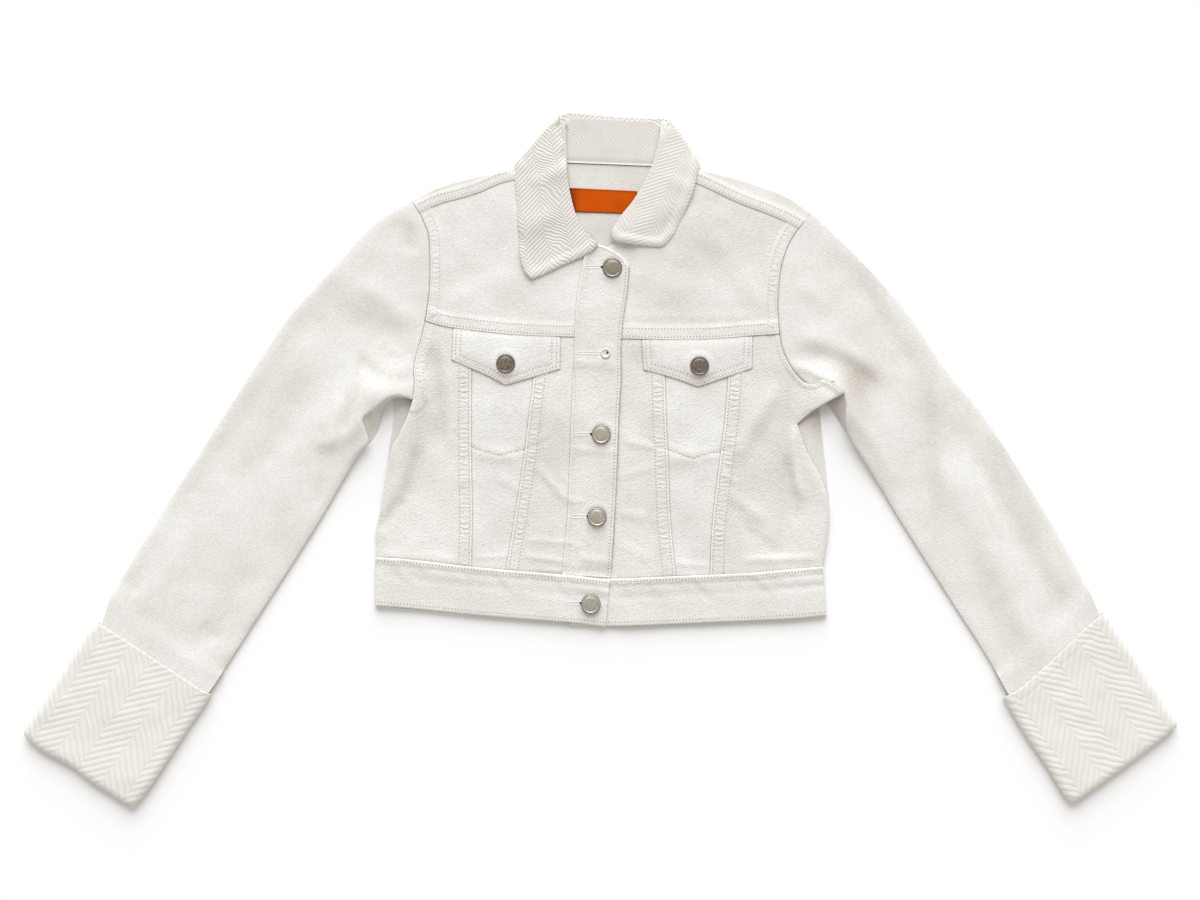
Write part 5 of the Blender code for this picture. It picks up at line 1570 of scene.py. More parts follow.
def band_edge_round(x, y, side, top):
    """Rounds the folded lower and end edges of the waistband."""
    k = 0 if side == "left" else -1
    lower = away_from(BAND_LOWER[side], x, y)
    outer = away_from((BAND_UPPER[side][k], BAND_LOWER[side][k]), x, y)
    return top - BAND_ROUND_DROP * round_off(np.minimum(lower, outer), BAND_ROUND)


def band_grid(upper, lower, across, down):
    """Grid of a part of the waistband between its upper and lower edge."""
    return inset(four_sided(upper, lower, (upper[0], lower[0]), (upper[-1], lower[-1]), across, down))


def build_waistband():
    for side in ("right", "left"):
        across = spaced(length_of(BAND_UPPER[side]))
        grid = band_grid(BAND_UPPER[side], BAND_LOWER[side], across, spaced(46.0, 1.5))
        x, y = plan(grid)
        sunk = 2 * FOLDED_DENIM + REST_GAP
        if side == "right":
            edge = rounded(BAND_END_RIGHT - x, BAND_TOP, BAND_EDGE_TOP)
            top = sunk + (edge - sunk) * soft_step((x - BAND_SINK_END) / BAND_SINK_RAMP)
        else:
            free = rounded(x - BAND_END_LEFT, BAND_TOP, BAND_EDGE_TOP)
            over = sunk + REST_GAP + FOLDED_DENIM
            top = free + (over - free) * soft_step((x + BAND_LAP_START) / BAND_LAP_RAMP)
        top = top + band_folds(x, y, side) + 0.5 * lumps(x, y)
        top = band_edge_round(x, y, side, top)
        front_cloth(f"waistband_{side}", grid, top, FOLDED_DENIM, "band")


def band_folds(x, y, side):
    """The soft ridge of the turned-in edge along the band, and the pulls across it."""
    line = smooth_line(BAND_UPPER[side])
    down, along = nearest(line, x, y, 60.0)
    ridge = 0.7 * hump(down - 11.0, 3.2) - 0.7 * hump(down - 18.0, 3.2)
    strength = 0.5 + 0.6 * cloud(along, down * 0.6, 44.0, 61)
    pulls = 0.34 * cloud(along - 0.9 * down, down * 0.25, 9.0, 62) * soft_step((26.0 - down) / 10.0)
    inside = soft_step(down / 5.0) * soft_step((46.0 - down) / 6.0)
    return (ridge * strength + pulls) * inside


def placket_top(x, y):
    """Upper face of the placket: it lies on the sunk right front."""
    return cloth_top(x, y) - PLACKET_SINK + REST_GAP + FOLDED_DENIM


def yoke_band_on_placket(x, y):
    """The yoke's lapped seam goes on across the placket."""
    start, end = (np.array(YOKE_SEAM[side][k], float) for side, k in (("left", -1), ("right", 0)))
    run = (end - start) / np.linalg.norm(end - start)
    above = (y - start[1]) * run[0] - (x - start[0]) * run[1]
    lap = LAP * soft_step(above / 0.8) * (1 - soft_step((above - 10.8) / 3.0))
    groove = -0.35 * hump(above + 0.8, 1.4)
    return lap + groove


def build_placket():
    line = joined(np.array(PLACKET_TOP[:1], float), smooth_line(PLACKET_LINE))
    edge = smooth_line(PLACKET_EDGE)
    down = spaced(lengths_along(line)[-1])
    across = spaced(44.0, 1.5)
    foot = sampled((PLACKET_LINE[-1], PLACKET_EDGE[-1]), across)
    grid = inset(patch(sampled(PLACKET_TOP, across), foot, on_line(line, down), on_line(edge, down)))
    x, y = plan(grid)
    distance = np.minimum(nearest(edge, x, y)[0], away_from(PLACKET_TOP, x, y))
    top = placket_top(x, y) - 1.2 * round_off(distance, 2.0)
    top += button_dents(x, y)
    edge_distance, along = nearest(edge, x, y)
    curl = 1.5 + 1.0 * cloud(along, 0 * along, 46.0, 33)
    above_foot = nearest(foot, x, y, 60.0)[0]
    curl *= soft_step(above_foot / 30.0)
    top += curl * hump(edge_distance, 7.0) - 1.0 * hump(above_foot, 7.0)
    top += yoke_band_on_placket(x, y)
    front_cloth("placket", grid, top, FOLDED_DENIM, "panel")


def button_dents(x, y):
    """Shallow dents that the buttons press into what they sit on."""
    total = np.zeros_like(x)
    for button in BUTTONS:
        away = np.hypot(x - button.x, y - button.y)
        total -= 0.15 * np.exp(-((away / (button.radius + 0.8)) ** 6))
        total += 0.5 * hump(away - button.radius - 2.6, 2.2)
    return total


def flap_top(x, y):
    """Upper face of a flap, which lies over the seams of the panels."""
    ridges = np.zeros_like(x)
    for seam in PANEL_SEAM:
        distance = away_from(seam, x, y)
        ridges += 0.45 * hump(distance, 7.0)
    return cloth_top(x, y) + REST_GAP + 0.5 + FOLDED_DENIM + ridges


def build_flaps():
    for side, edges in FLAP_EDGES.items():
        point = edges["point"]
        low = chained(point[: FLAP_TIP + 1], point[FLAP_TIP:])
        tip = lengths_along(smooth_line(point[: FLAP_TIP + 1]))[-1]
        across = spaced(102.0, 1.5)
        share = tip / lengths_along(low)[-1]
        nearest_share = np.argmin(abs(across - share))
        low_steps = np.interp(np.arange(len(across)), (0, nearest_share, len(across) - 1), (0, share, 1))
        down = spaced(45.0, 1.5)
        ends = [sampled(edges[key], down) for key in ("side", "other")]
        grid = patch(sampled(edges["top"], across), on_line(low, low_steps), *ends)
        grid = inset(grid, "first")
        x, y = plan(grid)
        distance = nearest(low, x, y)[0]
        for key in ("side", "other"):
            distance = np.minimum(distance, away_from(edges[key], x, y))
        top = flap_top(x, y) - 0.9 * round_off(distance, 1.4)
        top -= 1.2 * hump(distance, 9.0)
        top += button_dents(x, y)
        seam_distance = away_from(YOKE_SEAM[side], x, y)
        top -= 1.3 * np.exp(-seam_distance / 4.0)
        front_cloth(f"flap_{side}", grid, top, FOLDED_DENIM, "mid")


# -------- the back


def build_back_yoke():
    """Lower sheet, then round both shoulders to the front shoulder seams."""
    shoulder_steps = spaced(150.0, 2.6)
    neck_steps = evenly(36)
    down = spaced(130.0, HIDDEN_STEP)
    left_fold = sampled(SHOULDER_FOLD["left"], shoulder_steps)
    right_fold = sampled(SHOULDER_FOLD["right"], shoulder_steps)[::-1]
    neck = sampled(BACK_NECK, neck_steps)
    top_line = np.vstack([left_fold, neck[1:-1], right_fold])
    shoulder = len(shoulder_steps)
    columns = len(top_line)
    seam = sampled(BACK_YOKE_SEAM, shares(top_line))
    left = sampled(BACK_ARMHOLE_YOKE["left"][::-1], down)
    right = sampled(BACK_ARMHOLE_YOKE["right"][::-1], down)
    grid = inset(patch(seam, top_line, left, right), "first start end")
    lower_height = BACK_DENIM / 2 + fall_lift(*plan(grid))
    fold = grid[-1]
    seam_line = np.array(fold)
    seam_line[:shoulder] = sampled(SHOULDER_SEAM["left"], shoulder_steps)
    seam_line[columns - shoulder :] = sampled(SHOULDER_SEAM["right"], shoulder_steps)[::-1]
    outward = outward_of(fold, (0.0, 100.0))
    upper_height = cloth_top(*plan(fold)) - DENIM / 2
    bend = bend_rows(fold, upper_height, lower_height[-1], outward)[::-1]
    radius = (upper_height - lower_height[-1]) / 2
    pulled = fold - outward * radius[:, None]
    strip = []
    for share in spaced(16.0, 1.5)[1:]:
        place = pulled + (seam_line + outward * FINE_GAP / 2 - pulled) * share
        relief, _ = seam_relief("back_yoke", *plan(place))
        height = cloth_top(*plan(place)) - DENIM / 2 + relief
        strip.append(np.column_stack([place, height]))
    middle = np.concatenate([np.dstack([grid, lower_height])[:-1], bend, np.stack(strip)])
    rows = len(middle)
    flat_rows = len(grid) - 1
    cells = np.ones((rows - 1, columns - 1), bool)
    cells[flat_rows:, shoulder - 1 : columns - shoulder] = False
    normal = grid_normals(middle) * BACK_DENIM / 2
    _, shade = seam_relief("back_yoke", *plan(middle))
    place, pull, dots = seam_place("back_yoke", *plan(middle))
    shade[: flat_rows + 4] = 0.0
    shade[flat_rows:] -= 0.38
    place[: flat_rows + 4, :, 1] = 9.0
    marks = marks_of(shade, place, pull, dots)
    piece = make_cut_wall("back_yoke", middle + normal, middle - normal, "inside", cells, marks)
    flat, area = cut_of(middle)


def build_back_body():
    down = spaced(250.0, HIDDEN_STEP)
    sides = [on_line(chained(BACK_ARMHOLE_SIDE[side], BACK_EDGE[side]), down) for side in SIDES]
    across = spaced(420.0, HIDDEN_STEP)
    grid = patch(sampled(BACK_YOKE_SEAM, across), sampled(BAND_BACK_UPPER, across), *sides)
    grid = inset(grid, gap=SEAM_GAP)
    x, y = plan(grid)
    top = np.full(grid.shape[:2], BACK_DENIM) + 0.15 * abs(lumps(x, y))
    # painted shade on the back below the armpits
    marks = marks_of(spots(x, y, ARMPIT_SHADES))
    lay_cloth("back_body", grid, top, BACK_DENIM, "back", marks)


def build_back_band():
    grid = band_grid(BAND_BACK_UPPER, BAND_BACK_LOWER, spaced(420.0, HIDDEN_STEP), spaced(46.0, HIDDEN_STEP))
    top = np.full(grid.shape[:2], FOLDED_DENIM)
    marks = marks_of(np.zeros(grid.shape[:2]))
    lay_cloth("waistband_back", grid, top, FOLDED_DENIM, "back", marks)


def build_label():
    corners = np.array(LABEL_CORNERS, float)
    sides = (corners[[0, 1]], corners[[3, 2]], corners[[0, 3]], corners[[1, 2]])
    grid = four_sided(*sides, spaced(63.0, 2.0), spaced(24.0, 1.5))
    x, y = plan(grid)
    distance = nearest(np.array([*corners, corners[0]]), x, y)[0]
    top = BACK_DENIM + fall_lift(x, y) + REST_GAP + LABEL_CLOTH
    top += 0.25 * cloud(x, y, 14.0, 71) + 0.15
    top -= 0.5 * round_off(distance, 1.2)
    top -= 0.18 * hump(distance - 2.2, 0.6)
    shade = 1.1 * hump(distance, 1.3) + 0.9 * soft_step((-17.0 - x) / 9.0)
    shade += 0.22 * cloud(x, y, 9.0, 72)
    lay_cloth("label", grid, top, LABEL_CLOTH, "label", marks_of(shade), "label")


# -------- folds over the edge


def grid_normals(middle):
    """Unit normals of a grid of points in space."""
    down = np.gradient(middle, axis=0)
    across = np.gradient(middle, axis=1)
    normal = np.cross(down, across)
    return normal / np.linalg.norm(normal, axis=2)[..., None]


def outward_of(line, inside):
    """Unit sideways directions of a line, away from a point inside."""
    return inward(line, np.array(inside), -1.0)


def bend_rows(fold, upper_height, lower_height, outward):
    """Rows round a fold: from the upper layer, over the outermost line, to the lower layer."""
    radius = (upper_height - lower_height) / 2
    centre = (upper_height + lower_height) / 2
    rows = []
    for step in range(BEND_STEPS + 1):
        turn = math.pi / 2 - math.pi * step / BEND_STEPS
        place = fold + outward * (radius * (math.cos(turn) - 1))[:, None]
        rows.append(np.column_stack([place, centre + radius * math.sin(turn)]))
    return np.stack(rows)


def make_cut_wall(name, upper, lower, material, cells, marks):
    """A closed wall between two grids of points, over the cells that are kept."""
    rows, columns = upper.shape[:2]
    count = rows * columns
    quads = grid_faces(rows, columns)[cells.ravel()]
    starts = quads.ravel()
    ends = np.roll(quads, -1, axis=1).ravel()
    shared = set(zip(ends.tolist(), starts.tolist()))
    rim = [(a, b) for a, b in zip(starts.tolist(), ends.tolist()) if (a, b) not in shared]
    rim = np.array([(b, a, a + count, b + count) for a, b in rim])
    faces = np.concatenate([quads, quads[:, ::-1] + count, rim])
    points = both_faces(upper, lower)
    used = np.unique(faces)
    place = np.zeros(2 * count, int)
    place[used] = np.arange(len(used))
    marks = {label: values[used] for label, values in marks.items()}
    points = points[used]
    return make_piece(
        f"{name}_cloth", points, place[faces].tolist(), material, "denim", name, points[:, :2], marks
    )


# -------- collar


def leaf_sides(side, across, down):
    """Grid of a collar leaf from its front edge to the fold at the neck, seen from above."""
    return four_sided(LEAF_FRONT[side], FALL_FOLD[side], LEAF_ROLL[side], LEAF_OUTER[side], across, down)


def surface_of(piece):
    """The surface of a piece or solid, to look heights up in."""
    corners = [vertex.co for vertex in piece.data.vertices]
    return BVHTree.FromPolygons(corners, [tuple(face.vertices) for face in piece.data.polygons])


def top_of(tree, x, y):
    """Height of an upper face at a place, or nothing beside it."""
    hit = tree.ray_cast(Vector(((x + SHIFT[0]) * MM, (y + SHIFT[1]) * MM, 0.1)), Vector((0, 0, -1)))[0]
    return None if hit is None else hit.z / MM


def softened(heights, times):
    """Heights averaged with their neighbours, a number of times."""
    for _ in range(times):
        padded = np.pad(heights, 1, mode="edge")
        around = padded[:-2, 1:-1] + padded[2:, 1:-1] + padded[1:-1, :-2] + padded[1:-1, 2:]
        heights = 0.5 * heights + 0.125 * around
    return heights


def leaf_heights(side, across, down):
    """Height of the middle of a leaf's wall, from its solid and smoothed over its flat faces."""
    places = leaf_sides(side, np.linspace(0.05, 0.95, 10), np.linspace(0.03, 0.97, 16))
    solid = surface_of(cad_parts["collar_fall"])
    coarse = np.array([[top_of(solid, x, y) for x, y in row] for row in places], float)
    coarse = np.where(np.isnan(coarse), np.nanmean(coarse), coarse) - HEAVY_CLOTH / 2
    return softened(stretched(coarse, evenly(15), evenly(9), down, across), 30)


def wrapped_middle(arms, back, arm_heights, back_height, inside):
    """Middle of a strip round the neck: down the left front, under the back, down the right front."""
    back_rows = np.dstack([back, np.full(back.shape[:2], back_height)])
    parts = []
    for side, fold_row in (("left", back_rows[0]), ("right", back_rows[-1])):
        arm = np.dstack([arms[side], arm_heights[side]])
        bend = bend_rows(arm[-1, :, :2], arm[-1, :, 2], fold_row[:, 2], outward_of(arm[-1, :, :2], inside))
        rows = np.concatenate([arm[:-1], bend])
        parts.append(rows if side == "left" else rows[::-1])
    return np.concatenate([parts[0], back_rows[1:-1], parts[1]]), len(parts[0]), len(parts[1])


def build_collar_fall():
    across = spaced(62.0, 1.4)
    down = spaced(130.0, 1.6)
    arms = {side: leaf_sides(side, across, down) for side in SIDES}
    heights = {side: leaf_heights(side, across, down) for side in SIDES}
    back_steps = evenly(40)
    edges = (FALL_FOLD["left"], FALL_FOLD["right"], FALL_ROLL, FALL_BACK_EDGE)
    back = four_sided(*edges, across, back_steps)
    middle, left_rows, right_rows = wrapped_middle(arms, back, heights, HEAVY_CLOTH / 2, (5.0, 240.0))
    normal = grid_normals(middle)
    half = np.full(middle.shape[:2], HEAVY_CLOTH / 2)
    shade = np.zeros_like(half)
    lift = np.zeros_like(half)
    calm = np.zeros_like(half)
    for side, rows in (("left", slice(0, len(down))), ("right", slice(-len(down), None))):
        x, y = plan(middle[rows])
        front = away_from(LEAF_FRONT[side], x, y)
        outer = away_from(LEAF_OUTER[side], x, y)
        edge = np.minimum(front, outer)
        puff = 0.55 * hump(edge - 5.0, 3.6) - 0.2 * hump(edge - 10.5, 2.4)
        puff += 0.5 * hump(front - 4.5, 3.6) * (1.0 if side == "right" else 0.35)
        lift[rows] = puff + 0.7 * cloud(x, y, 26.0, 41) + 0.2 * cloud(x, y, 10.0, 42)
        lift[rows] += crease_height(x, y, LEAF_FOLDS)
        calm[rows] = 0.4 if side == "right" else 0.0
        half[rows] = HEAVY_CLOTH / 2 * np.sqrt(1 - np.clip(1 - edge / 2.6, 0, 0.97) ** 2)
        shade[rows] = 0.3 * hump(edge, 0.8)
    middle[..., 2] += lift
    weave = collar_weave(middle, left_rows, right_rows)
    marks = marks_of(shade, pull=calm)
    make_strip("collar_fall", middle, normal * half[..., None], "collar", marks, weave)


def make_strip(name, middle, half, material, marks, weave=None):
    """A closed strip of the collar, by half its wall on both sides of its middle."""
    points = both_faces(middle + half, middle - half)
    faces = closed_faces(*middle.shape[:2]).tolist()
    weave = points[:, :2] if weave is None else np.concatenate([weave, weave])
    piece = make_piece(f"{name}_cloth", points, faces, material, "herringbone", name, weave, marks, 70.0)
    flat, area = cut_of(middle)


# Soft folds of the collar's leaves
LEAF_FOLDS = in_millimetres((
    (533, 184, 568, 168, 0, 7, 1.1),
    (520, 236, 552, 214, 0, 8, 0.8),
    (654, 232, 690, 214, 0, 8, -0.7),
    (668, 176, 700, 196, 0, 7, 0.8),
))

# Lines that the columns of the weave run along, on each leaf
LEAF_GRAIN = {"left": ((-79.5, 273), (-64.5, 168)), "right": ((93, 275), (62, 198))}


def collar_weave(middle, left_rows, right_rows):
    """Weave coordinates of the collar: along each leaf's grain, and straight on the back."""
    flat = middle[..., :2].reshape(-1, 2)
    left, right = (along_axis(flat, LEAF_GRAIN[side]).reshape(*middle.shape[:2], 2) for side in SIDES)
    uv = middle[..., :2].copy()
    uv[:left_rows] = left[:left_rows]
    uv[-right_rows:] = right[-right_rows:]
    return uv.reshape(-1, 2)


def build_collar_stand():
    across = spaced(34.0, 1.6)
    down = spaced(110.0, 2.0)
    arms = {}
    heights = {}
    for side in SIDES:
        front = (ARM_ROLL[side][0], ARM_SEAM[side][0])
        arm = four_sided(front, STAND_FOLD[side], ARM_ROLL[side], ARM_SEAM[side], across, down)
        arms[side] = inset(arm, "end", NECK_GAP)
        rise = soft_step(0.2 + 1.2 * down)[:, None]
        heights[side] = STAND_LOW + STAND_RISE * rise * np.ones(arms[side].shape[:2])
    back = four_sided(STAND_FOLD["left"], STAND_FOLD["right"], STAND_ROLL, BACK_NECK, across, evenly(60))
    back = inset(back, "end", NECK_GAP / 2)
    back_height = FALL_LIFT + STAND_WALL / 2
    middle, left_rows, right_rows = wrapped_middle(arms, back, heights, back_height, (5.0, 290.0))
    normal = grid_normals(middle) * STAND_WALL / 2
    inner = slice(left_rows, -right_rows)
    x, y = plan(middle[inner])
    seam = away_from(BACK_NECK, x, y)
    middle[inner, :, 2] += 0.12 * cloud(x, y, 12.0, 51) - 0.5 * hump(seam - 2.6, 1.5)
    middle[inner, :, 2] += 0.5 * hump(seam, 1.3)
    shade = np.zeros(middle.shape[:2])
    # painted shade in the groove beside the neck seam
    shade[inner] = 0.9 * hump(seam - 3.0, 1.3)
    make_strip("collar_stand", middle, normal, "stand", marks_of(shade))


# -------- sleeves and cuffs


def tube_faces(rings, count):
    """Faces of a tube whose closed rings have a number of points each, and of nothing at its ends."""
    i, j = np.meshgrid(np.arange(rings - 1), np.arange(count), indexing="ij")
    after = (j + 1) % count
    return np.stack([i * count + j, i * count + after, (i + 1) * count + after, (i + 1) * count + j], -1)


def outward_faces(faces, points):
    """The faces of a flattened tube, turned so that its upper ones look up and its lower ones down."""
    corners = points[faces[:, :3]]
    normals = np.cross(corners[:, 1] - corners[:, 0], corners[:, 2] - corners[:, 0])
    above = corners[..., 2].mean(1) - points[:, 2].mean()
    return faces if np.sum(normals[:, 2] * above) > 0 else faces[:, ::-1]


def is_past(point, line):
    """Whether a point lies on the mouth's side of a cuff's free edge."""
    closest = min(np.argmin(np.linalg.norm(line - point, axis=1)), len(line) - 2)
    run = line[closest + 1] - line[closest]
    side = run[0] * (point[1] - line[closest][1]) - run[1] * (point[0] - line[closest][0])
    return side < 0 if run[0] > 0 else side > 0


def past_cuff_edge(row, cuff_line):
    """Distance of the middle of a sleeve ring past a cuff's free edge, less than 0 before it."""
    point = row[len(row) // 2]
    distance = np.linalg.norm(cuff_line - point, axis=1).min()
    return distance if is_past(point, cuff_line) else -distance


NO_FACES = np.zeros((0, 4), int)
# Turns the weave so that its streaks run down the arm
SLEEVE_GRAIN = np.array(((1.0, 1.0), (-1.0, 1.0))) / math.sqrt(2)


def sleeve_rings(knots, cuff_corner, steps):
    """Points of a sleeve edge at its rings, which meet the cuff's edge at the same step."""
    cuff = share_at(knots, cuff_corner)
    fractions = np.concatenate([cuff * steps, cuff + (1 - cuff) * np.array([0.2, 0.6, 1.0])])
    return sampled(knots, fractions)


def build_sleeve(side):
    armhole = chained(ARMHOLE_STRIP[side], ARMHOLE_YOKE[side], ARMHOLE_SIDE[side])
    back_armhole = chained(BACK_ARMHOLE_YOKE[side], BACK_ARMHOLE_SIDE[side])
    steps = spaced(560.0, SLEEVE_STEP)
    across = spaced(190.0, SLEEVE_STEP)
    under_across = spaced(190.0, 6.0)
    corners = CUFF_FREE_EDGE[side][0], CUFF_FREE_EDGE[side][-1]
    outer = sleeve_rings(SLEEVE_OUTER[side], corners[0], steps)
    under = sleeve_rings(SLEEVE_UNDER[side], corners[1], steps)
    back_under = sleeve_rings(SLEEVE_BACK_UNDER[side], corners[1], steps)
    end = np.array((outer[-1], under[-1]))
    upper = inset(untangled(armhole, end, outer, under, across), "first", SEAM_GAP / 2)
    lower = inset(untangled(back_armhole, end, outer, back_under, under_across), "first", SEAM_GAP / 2)
    cuff_line = smooth_line(CUFF_FREE_EDGE[side])
    past = np.array([past_cuff_edge(row, cuff_line) for row in upper])
    floor = FALL_LIFT * soft_step((past - SLEEVE_LIFT_START) / SLEEVE_LIFT_RAMP)
    x, y = plan(upper)
    distance = np.minimum(*[away_from(line[side], x, y) for line in (SLEEVE_OUTER, SLEEVE_UNDER)])
    calm = soft_step((SLEEVE_CALM_END - past) / SLEEVE_CALM_RAMP)[:, None]
    fill = SLEEVE_FILL * soft_step((past - SLEEVE_FILL_START) / SLEEVE_FILL_RAMP)[:, None]
    level = CLOTH_TOP + (cloth_top(x, y) - CLOTH_TOP) * calm + fill
    relief, shade = seam_relief(f"sleeve_{side}", x, y)
    shade += fold_shade(x, y)
    edge = floor[:, None] + SLEEVE_EDGE + spots(x, y, ARMPIT_RISES)
    top = rounded(distance, level, edge, edge_reach(x, y)) + relief
    over = np.dstack([upper, top])
    below = np.dstack([lower, np.broadcast_to(floor[:, None] + LOWEST, lower.shape[:2])])
    rings = tube_rings(over, below)
    # painted shade on the lower layer below the armpits
    lines = spots(*plan(rings), ARMPIT_SHADES)
    lines[:, : over.shape[1]] = shade
    axis = (outer[0] + under[0]) / 2, (outer[-1] + under[-1]) / 2
    weave = along_axis(rings.reshape(-1, 3)[:, :2], axis) @ SLEEVE_GRAIN
    looks = ("sleeve", "denim", f"sleeve_{side}", weave, marks_of(lines, times=1))
    make_tube(looks, rings, over, SLEEVE_SKIN)


def tube_rings(over, below):
    """Closed rings of points round a flattened tube: over its upper grid and back under it."""
    return np.concatenate([over, below[:, -2:0:-1]], axis=1)


def make_tube(looks, rings, over, wall, mouth=NO_FACES):
    """A flattened tube of cloth: a skin, closed at its mouth if there are faces, with its wall inside."""
    points = rings.reshape(-1, 3)
    skin = tube_faces(*rings.shape[:2]).reshape(-1, 4)
    faces = outward_faces(np.concatenate([skin, mouth]), points).tolist()
    piece = make_piece(f"{looks[2]}_cloth", points, faces, *looks)
    solidify = piece.modifiers.new("wall", "SOLIDIFY")
    solidify.thickness = wall * MM
    solidify.offset = -1.0
    (width, length), area = cut_of(over)
    area = min(2 * area, 2 * width * length)


def build_cuff(side):
    """The turned cuff: over the top, round the mouth and back under it."""
    edges = (CUFF_FREE_EDGE[side], CUFF_MOUTH[side], CUFF_OUTER[side], CUFF_INNER[side])
    grid = four_sided(*edges, spaced(135.0, 1.8), spaced(125.0, 1.8))
    x, y = plan(grid)
    free, mouth, outer, inner = (away_from(edge, x, y) for edge in edges)
    folded = np.minimum(np.minimum(outer, inner), mouth)
    half = CUFF_TOP / 2
    swell = half + 0.45 * cloud(x, y, 30.0, 81) + 0.25 * cloud(x, y, 12.0, 82)
    top = half + rounded(folded, swell, CUFF_EDGE, 7.0) - 0.7 * round_off(free, 1.6)
    bottom = half - rounded(folded, half - LOWEST, CUFF_EDGE, 5.0)
    shade = 0.35 * hump(free, 0.8)
    if side == "right":
        shade += 0.35 * hump(free - 9.0, 0.8)
        top -= 0.35 * hump(free - 9.0, 0.9)
    over = np.dstack([grid, top])
    rings = tube_rings(over, np.dstack([grid, bottom]))
    rows, columns = grid.shape[:2]
    lines = np.zeros(rings.shape[:2])
    lines[:, :columns] = shade
    weave = along_axis(rings.reshape(-1, 3)[:, :2], (grid[0].mean(0), grid[-1].mean(0)))
    looks = ("cuff", "herringbone", f"cuff_{side}", weave, marks_of(lines, times=1), 75.0)
    cap = cap_faces(columns, rings.shape[1], (rows - 1) * rings.shape[1])
    make_tube(looks, rings, over, CUFF_SKIN, cap)


def cap_faces(columns, count, first):
    """Faces that close the mouth between the upper and the lower run of the last ring."""
    j = np.arange(1, columns - 2)
    return first + np.stack([j, j + 1, count - j - 1, count - j], 1)


# -------- stitches


def row_points(line, distance, towards, places):
    """Points beside a fine line at lengths along it, on the side where a point lies."""
    along = lengths_along(line)
    sideways = sideways_of(line)
    middle = len(line) // 2
    sign = np.sign(np.dot(np.array(towards) - line[middle], sideways[middle]))
    moved = line + sideways * sign * distance
    return np.stack([np.interp(places, along, moved[:, axis]) for axis in range(2)], 1)


def tree_of(node):
    """The surface of the cloth that stands for a node."""
    return surface_of(bpy.data.objects[f"{node}_cloth"])


def ring_faces(low, high, count):
    """Faces between two rings of points, which are numbered from low and from high."""
    return [(low + k, low + (k + 1) % count, high + (k + 1) % count, high + k) for k in range(count)]


def stitch_shape(start, end):
    """Points of one short rounded length of thread between two places: three rings of four."""
    run = (end - start) / np.linalg.norm(end - start)
    side = np.cross(run, (0.0, 0.0, 1.0))
    side /= np.linalg.norm(side)
    up = np.cross(side, run)
    points = []
    for centre, size, sink in ((start, 0.35, -0.22), ((start + end) / 2, 1.0, 0.0), (end, 0.35, -0.22)):
        for turn in range(4):
            angle = math.pi * turn / 2
            ray = math.cos(angle) * side + math.sin(angle) * up
            points.append(centre + up * sink + STITCH_RADIUS * size * ray)
    return points


def make_stitches(node, rows):
    """All stitches on one piece, as one mesh that lies in the piece's grooves."""
    tree = tree_of(node)
    points = []
    faces = []
    for line, distance in rows:
        total = lengths_along(line)[-1]
        count = int(total / STITCH_PITCH) - 1
        middles = (np.arange(count) + 0.5) * STITCH_PITCH
        starts = middles + (STITCH_PITCH - STITCH_LENGTH) / 2 - STITCH_PITCH / 2
        first = row_points(line, distance, PIECE_MIDDLES[node], starts)
        second = row_points(line, distance, PIECE_MIDDLES[node], starts + STITCH_LENGTH)
        for ends in zip(first, second):
            heights = [top_of(tree, *end) for end in ends]
            if None in heights or min(heights) < STITCH_LOWEST:
                continue
            start, end = [np.array([*p, h + STITCH_LIFT]) for p, h in zip(ends, heights)]
            base = len(points)
            points.extend(stitch_shape(start, end))
            faces += ring_faces(base, base + 4, 4) + ring_faces(base + 4, base + 8, 4)
            faces.append((base + 3, base + 2, base + 1, base))
            faces.append((base + 8, base + 9, base + 10, base + 11))
    if points:
        make_piece(f"stitches_{node}", points, faces, "thread", "denim")


PIECE_MIDDLES = {
    "front_yoke_left": (-90, 190), "front_yoke_right": (90, 190), "side_front_left": (-160, 0),
    "side_front_right": (155, 0), "centre_front_left": (-45, 0), "centre_front_right": (40, 0),
    "waistband_left": (-100, -125), "waistband_right": (100, -128), "placket": (0, 50),
    "flap_left": (-88, 98), "flap_right": (91, 98), "back_yoke": (0, 300),
}


def build_stitches():
    rows = {}
    for seam in SEAMS:
        for piece in seam.over:
            for distance in seam.rows:
                rows.setdefault(piece, []).append((smooth_line(seam.line), distance))
    for piece, edge, distances in EDGE_ROWS:
        for distance in distances:
            rows.setdefault(piece, []).append((smooth_line(edge), distance))
    for piece, lines in rows.items():
        make_stitches(piece, lines)


# -------- buttons


# Share of a button's radius and of its height, from the rim's foot over the dish to the middle
DISH = (
    (0.88, 0.0), (0.94, 0.1), (0.955, 0.4), (0.955, 0.8), (0.94, 0.94), (0.92, 0.985), (0.9, 1.0),
    (0.87, 0.985), (0.86, 0.96), (0.81, 0.96), (0.795, 0.935), (0.775, 0.935), (0.76, 0.96),
    (0.4, 0.975), (0.0, 0.98),
)
# A thin dark ring round a button's foot: painted shade and dark reflection of its steep side, and its
# contact shadow
RIM = ((0.9, 0.0), (1.0, 0.0), (1.01, 0.3), (1.0, 0.6), (0.965, 0.74), (0.945, 0.6), (0.0, 0.3))
SMALL_DISH = (
    (0.85, 0.0), (0.97, 0.2), (1.0, 0.55), (0.95, 0.85), (0.85, 1.0), (0.7, 0.95), (0.62, 0.75), (0.3, 0.7),
    (0.0, 0.7),
)
BUTTON_TURNS = 72
BUTTON_FINISHES = {
    "button_1": "metal",
    "button_2": "plastic",
    "button_flap_left": "dark_metal",
    "button_flap_right": "dark_metal",
}


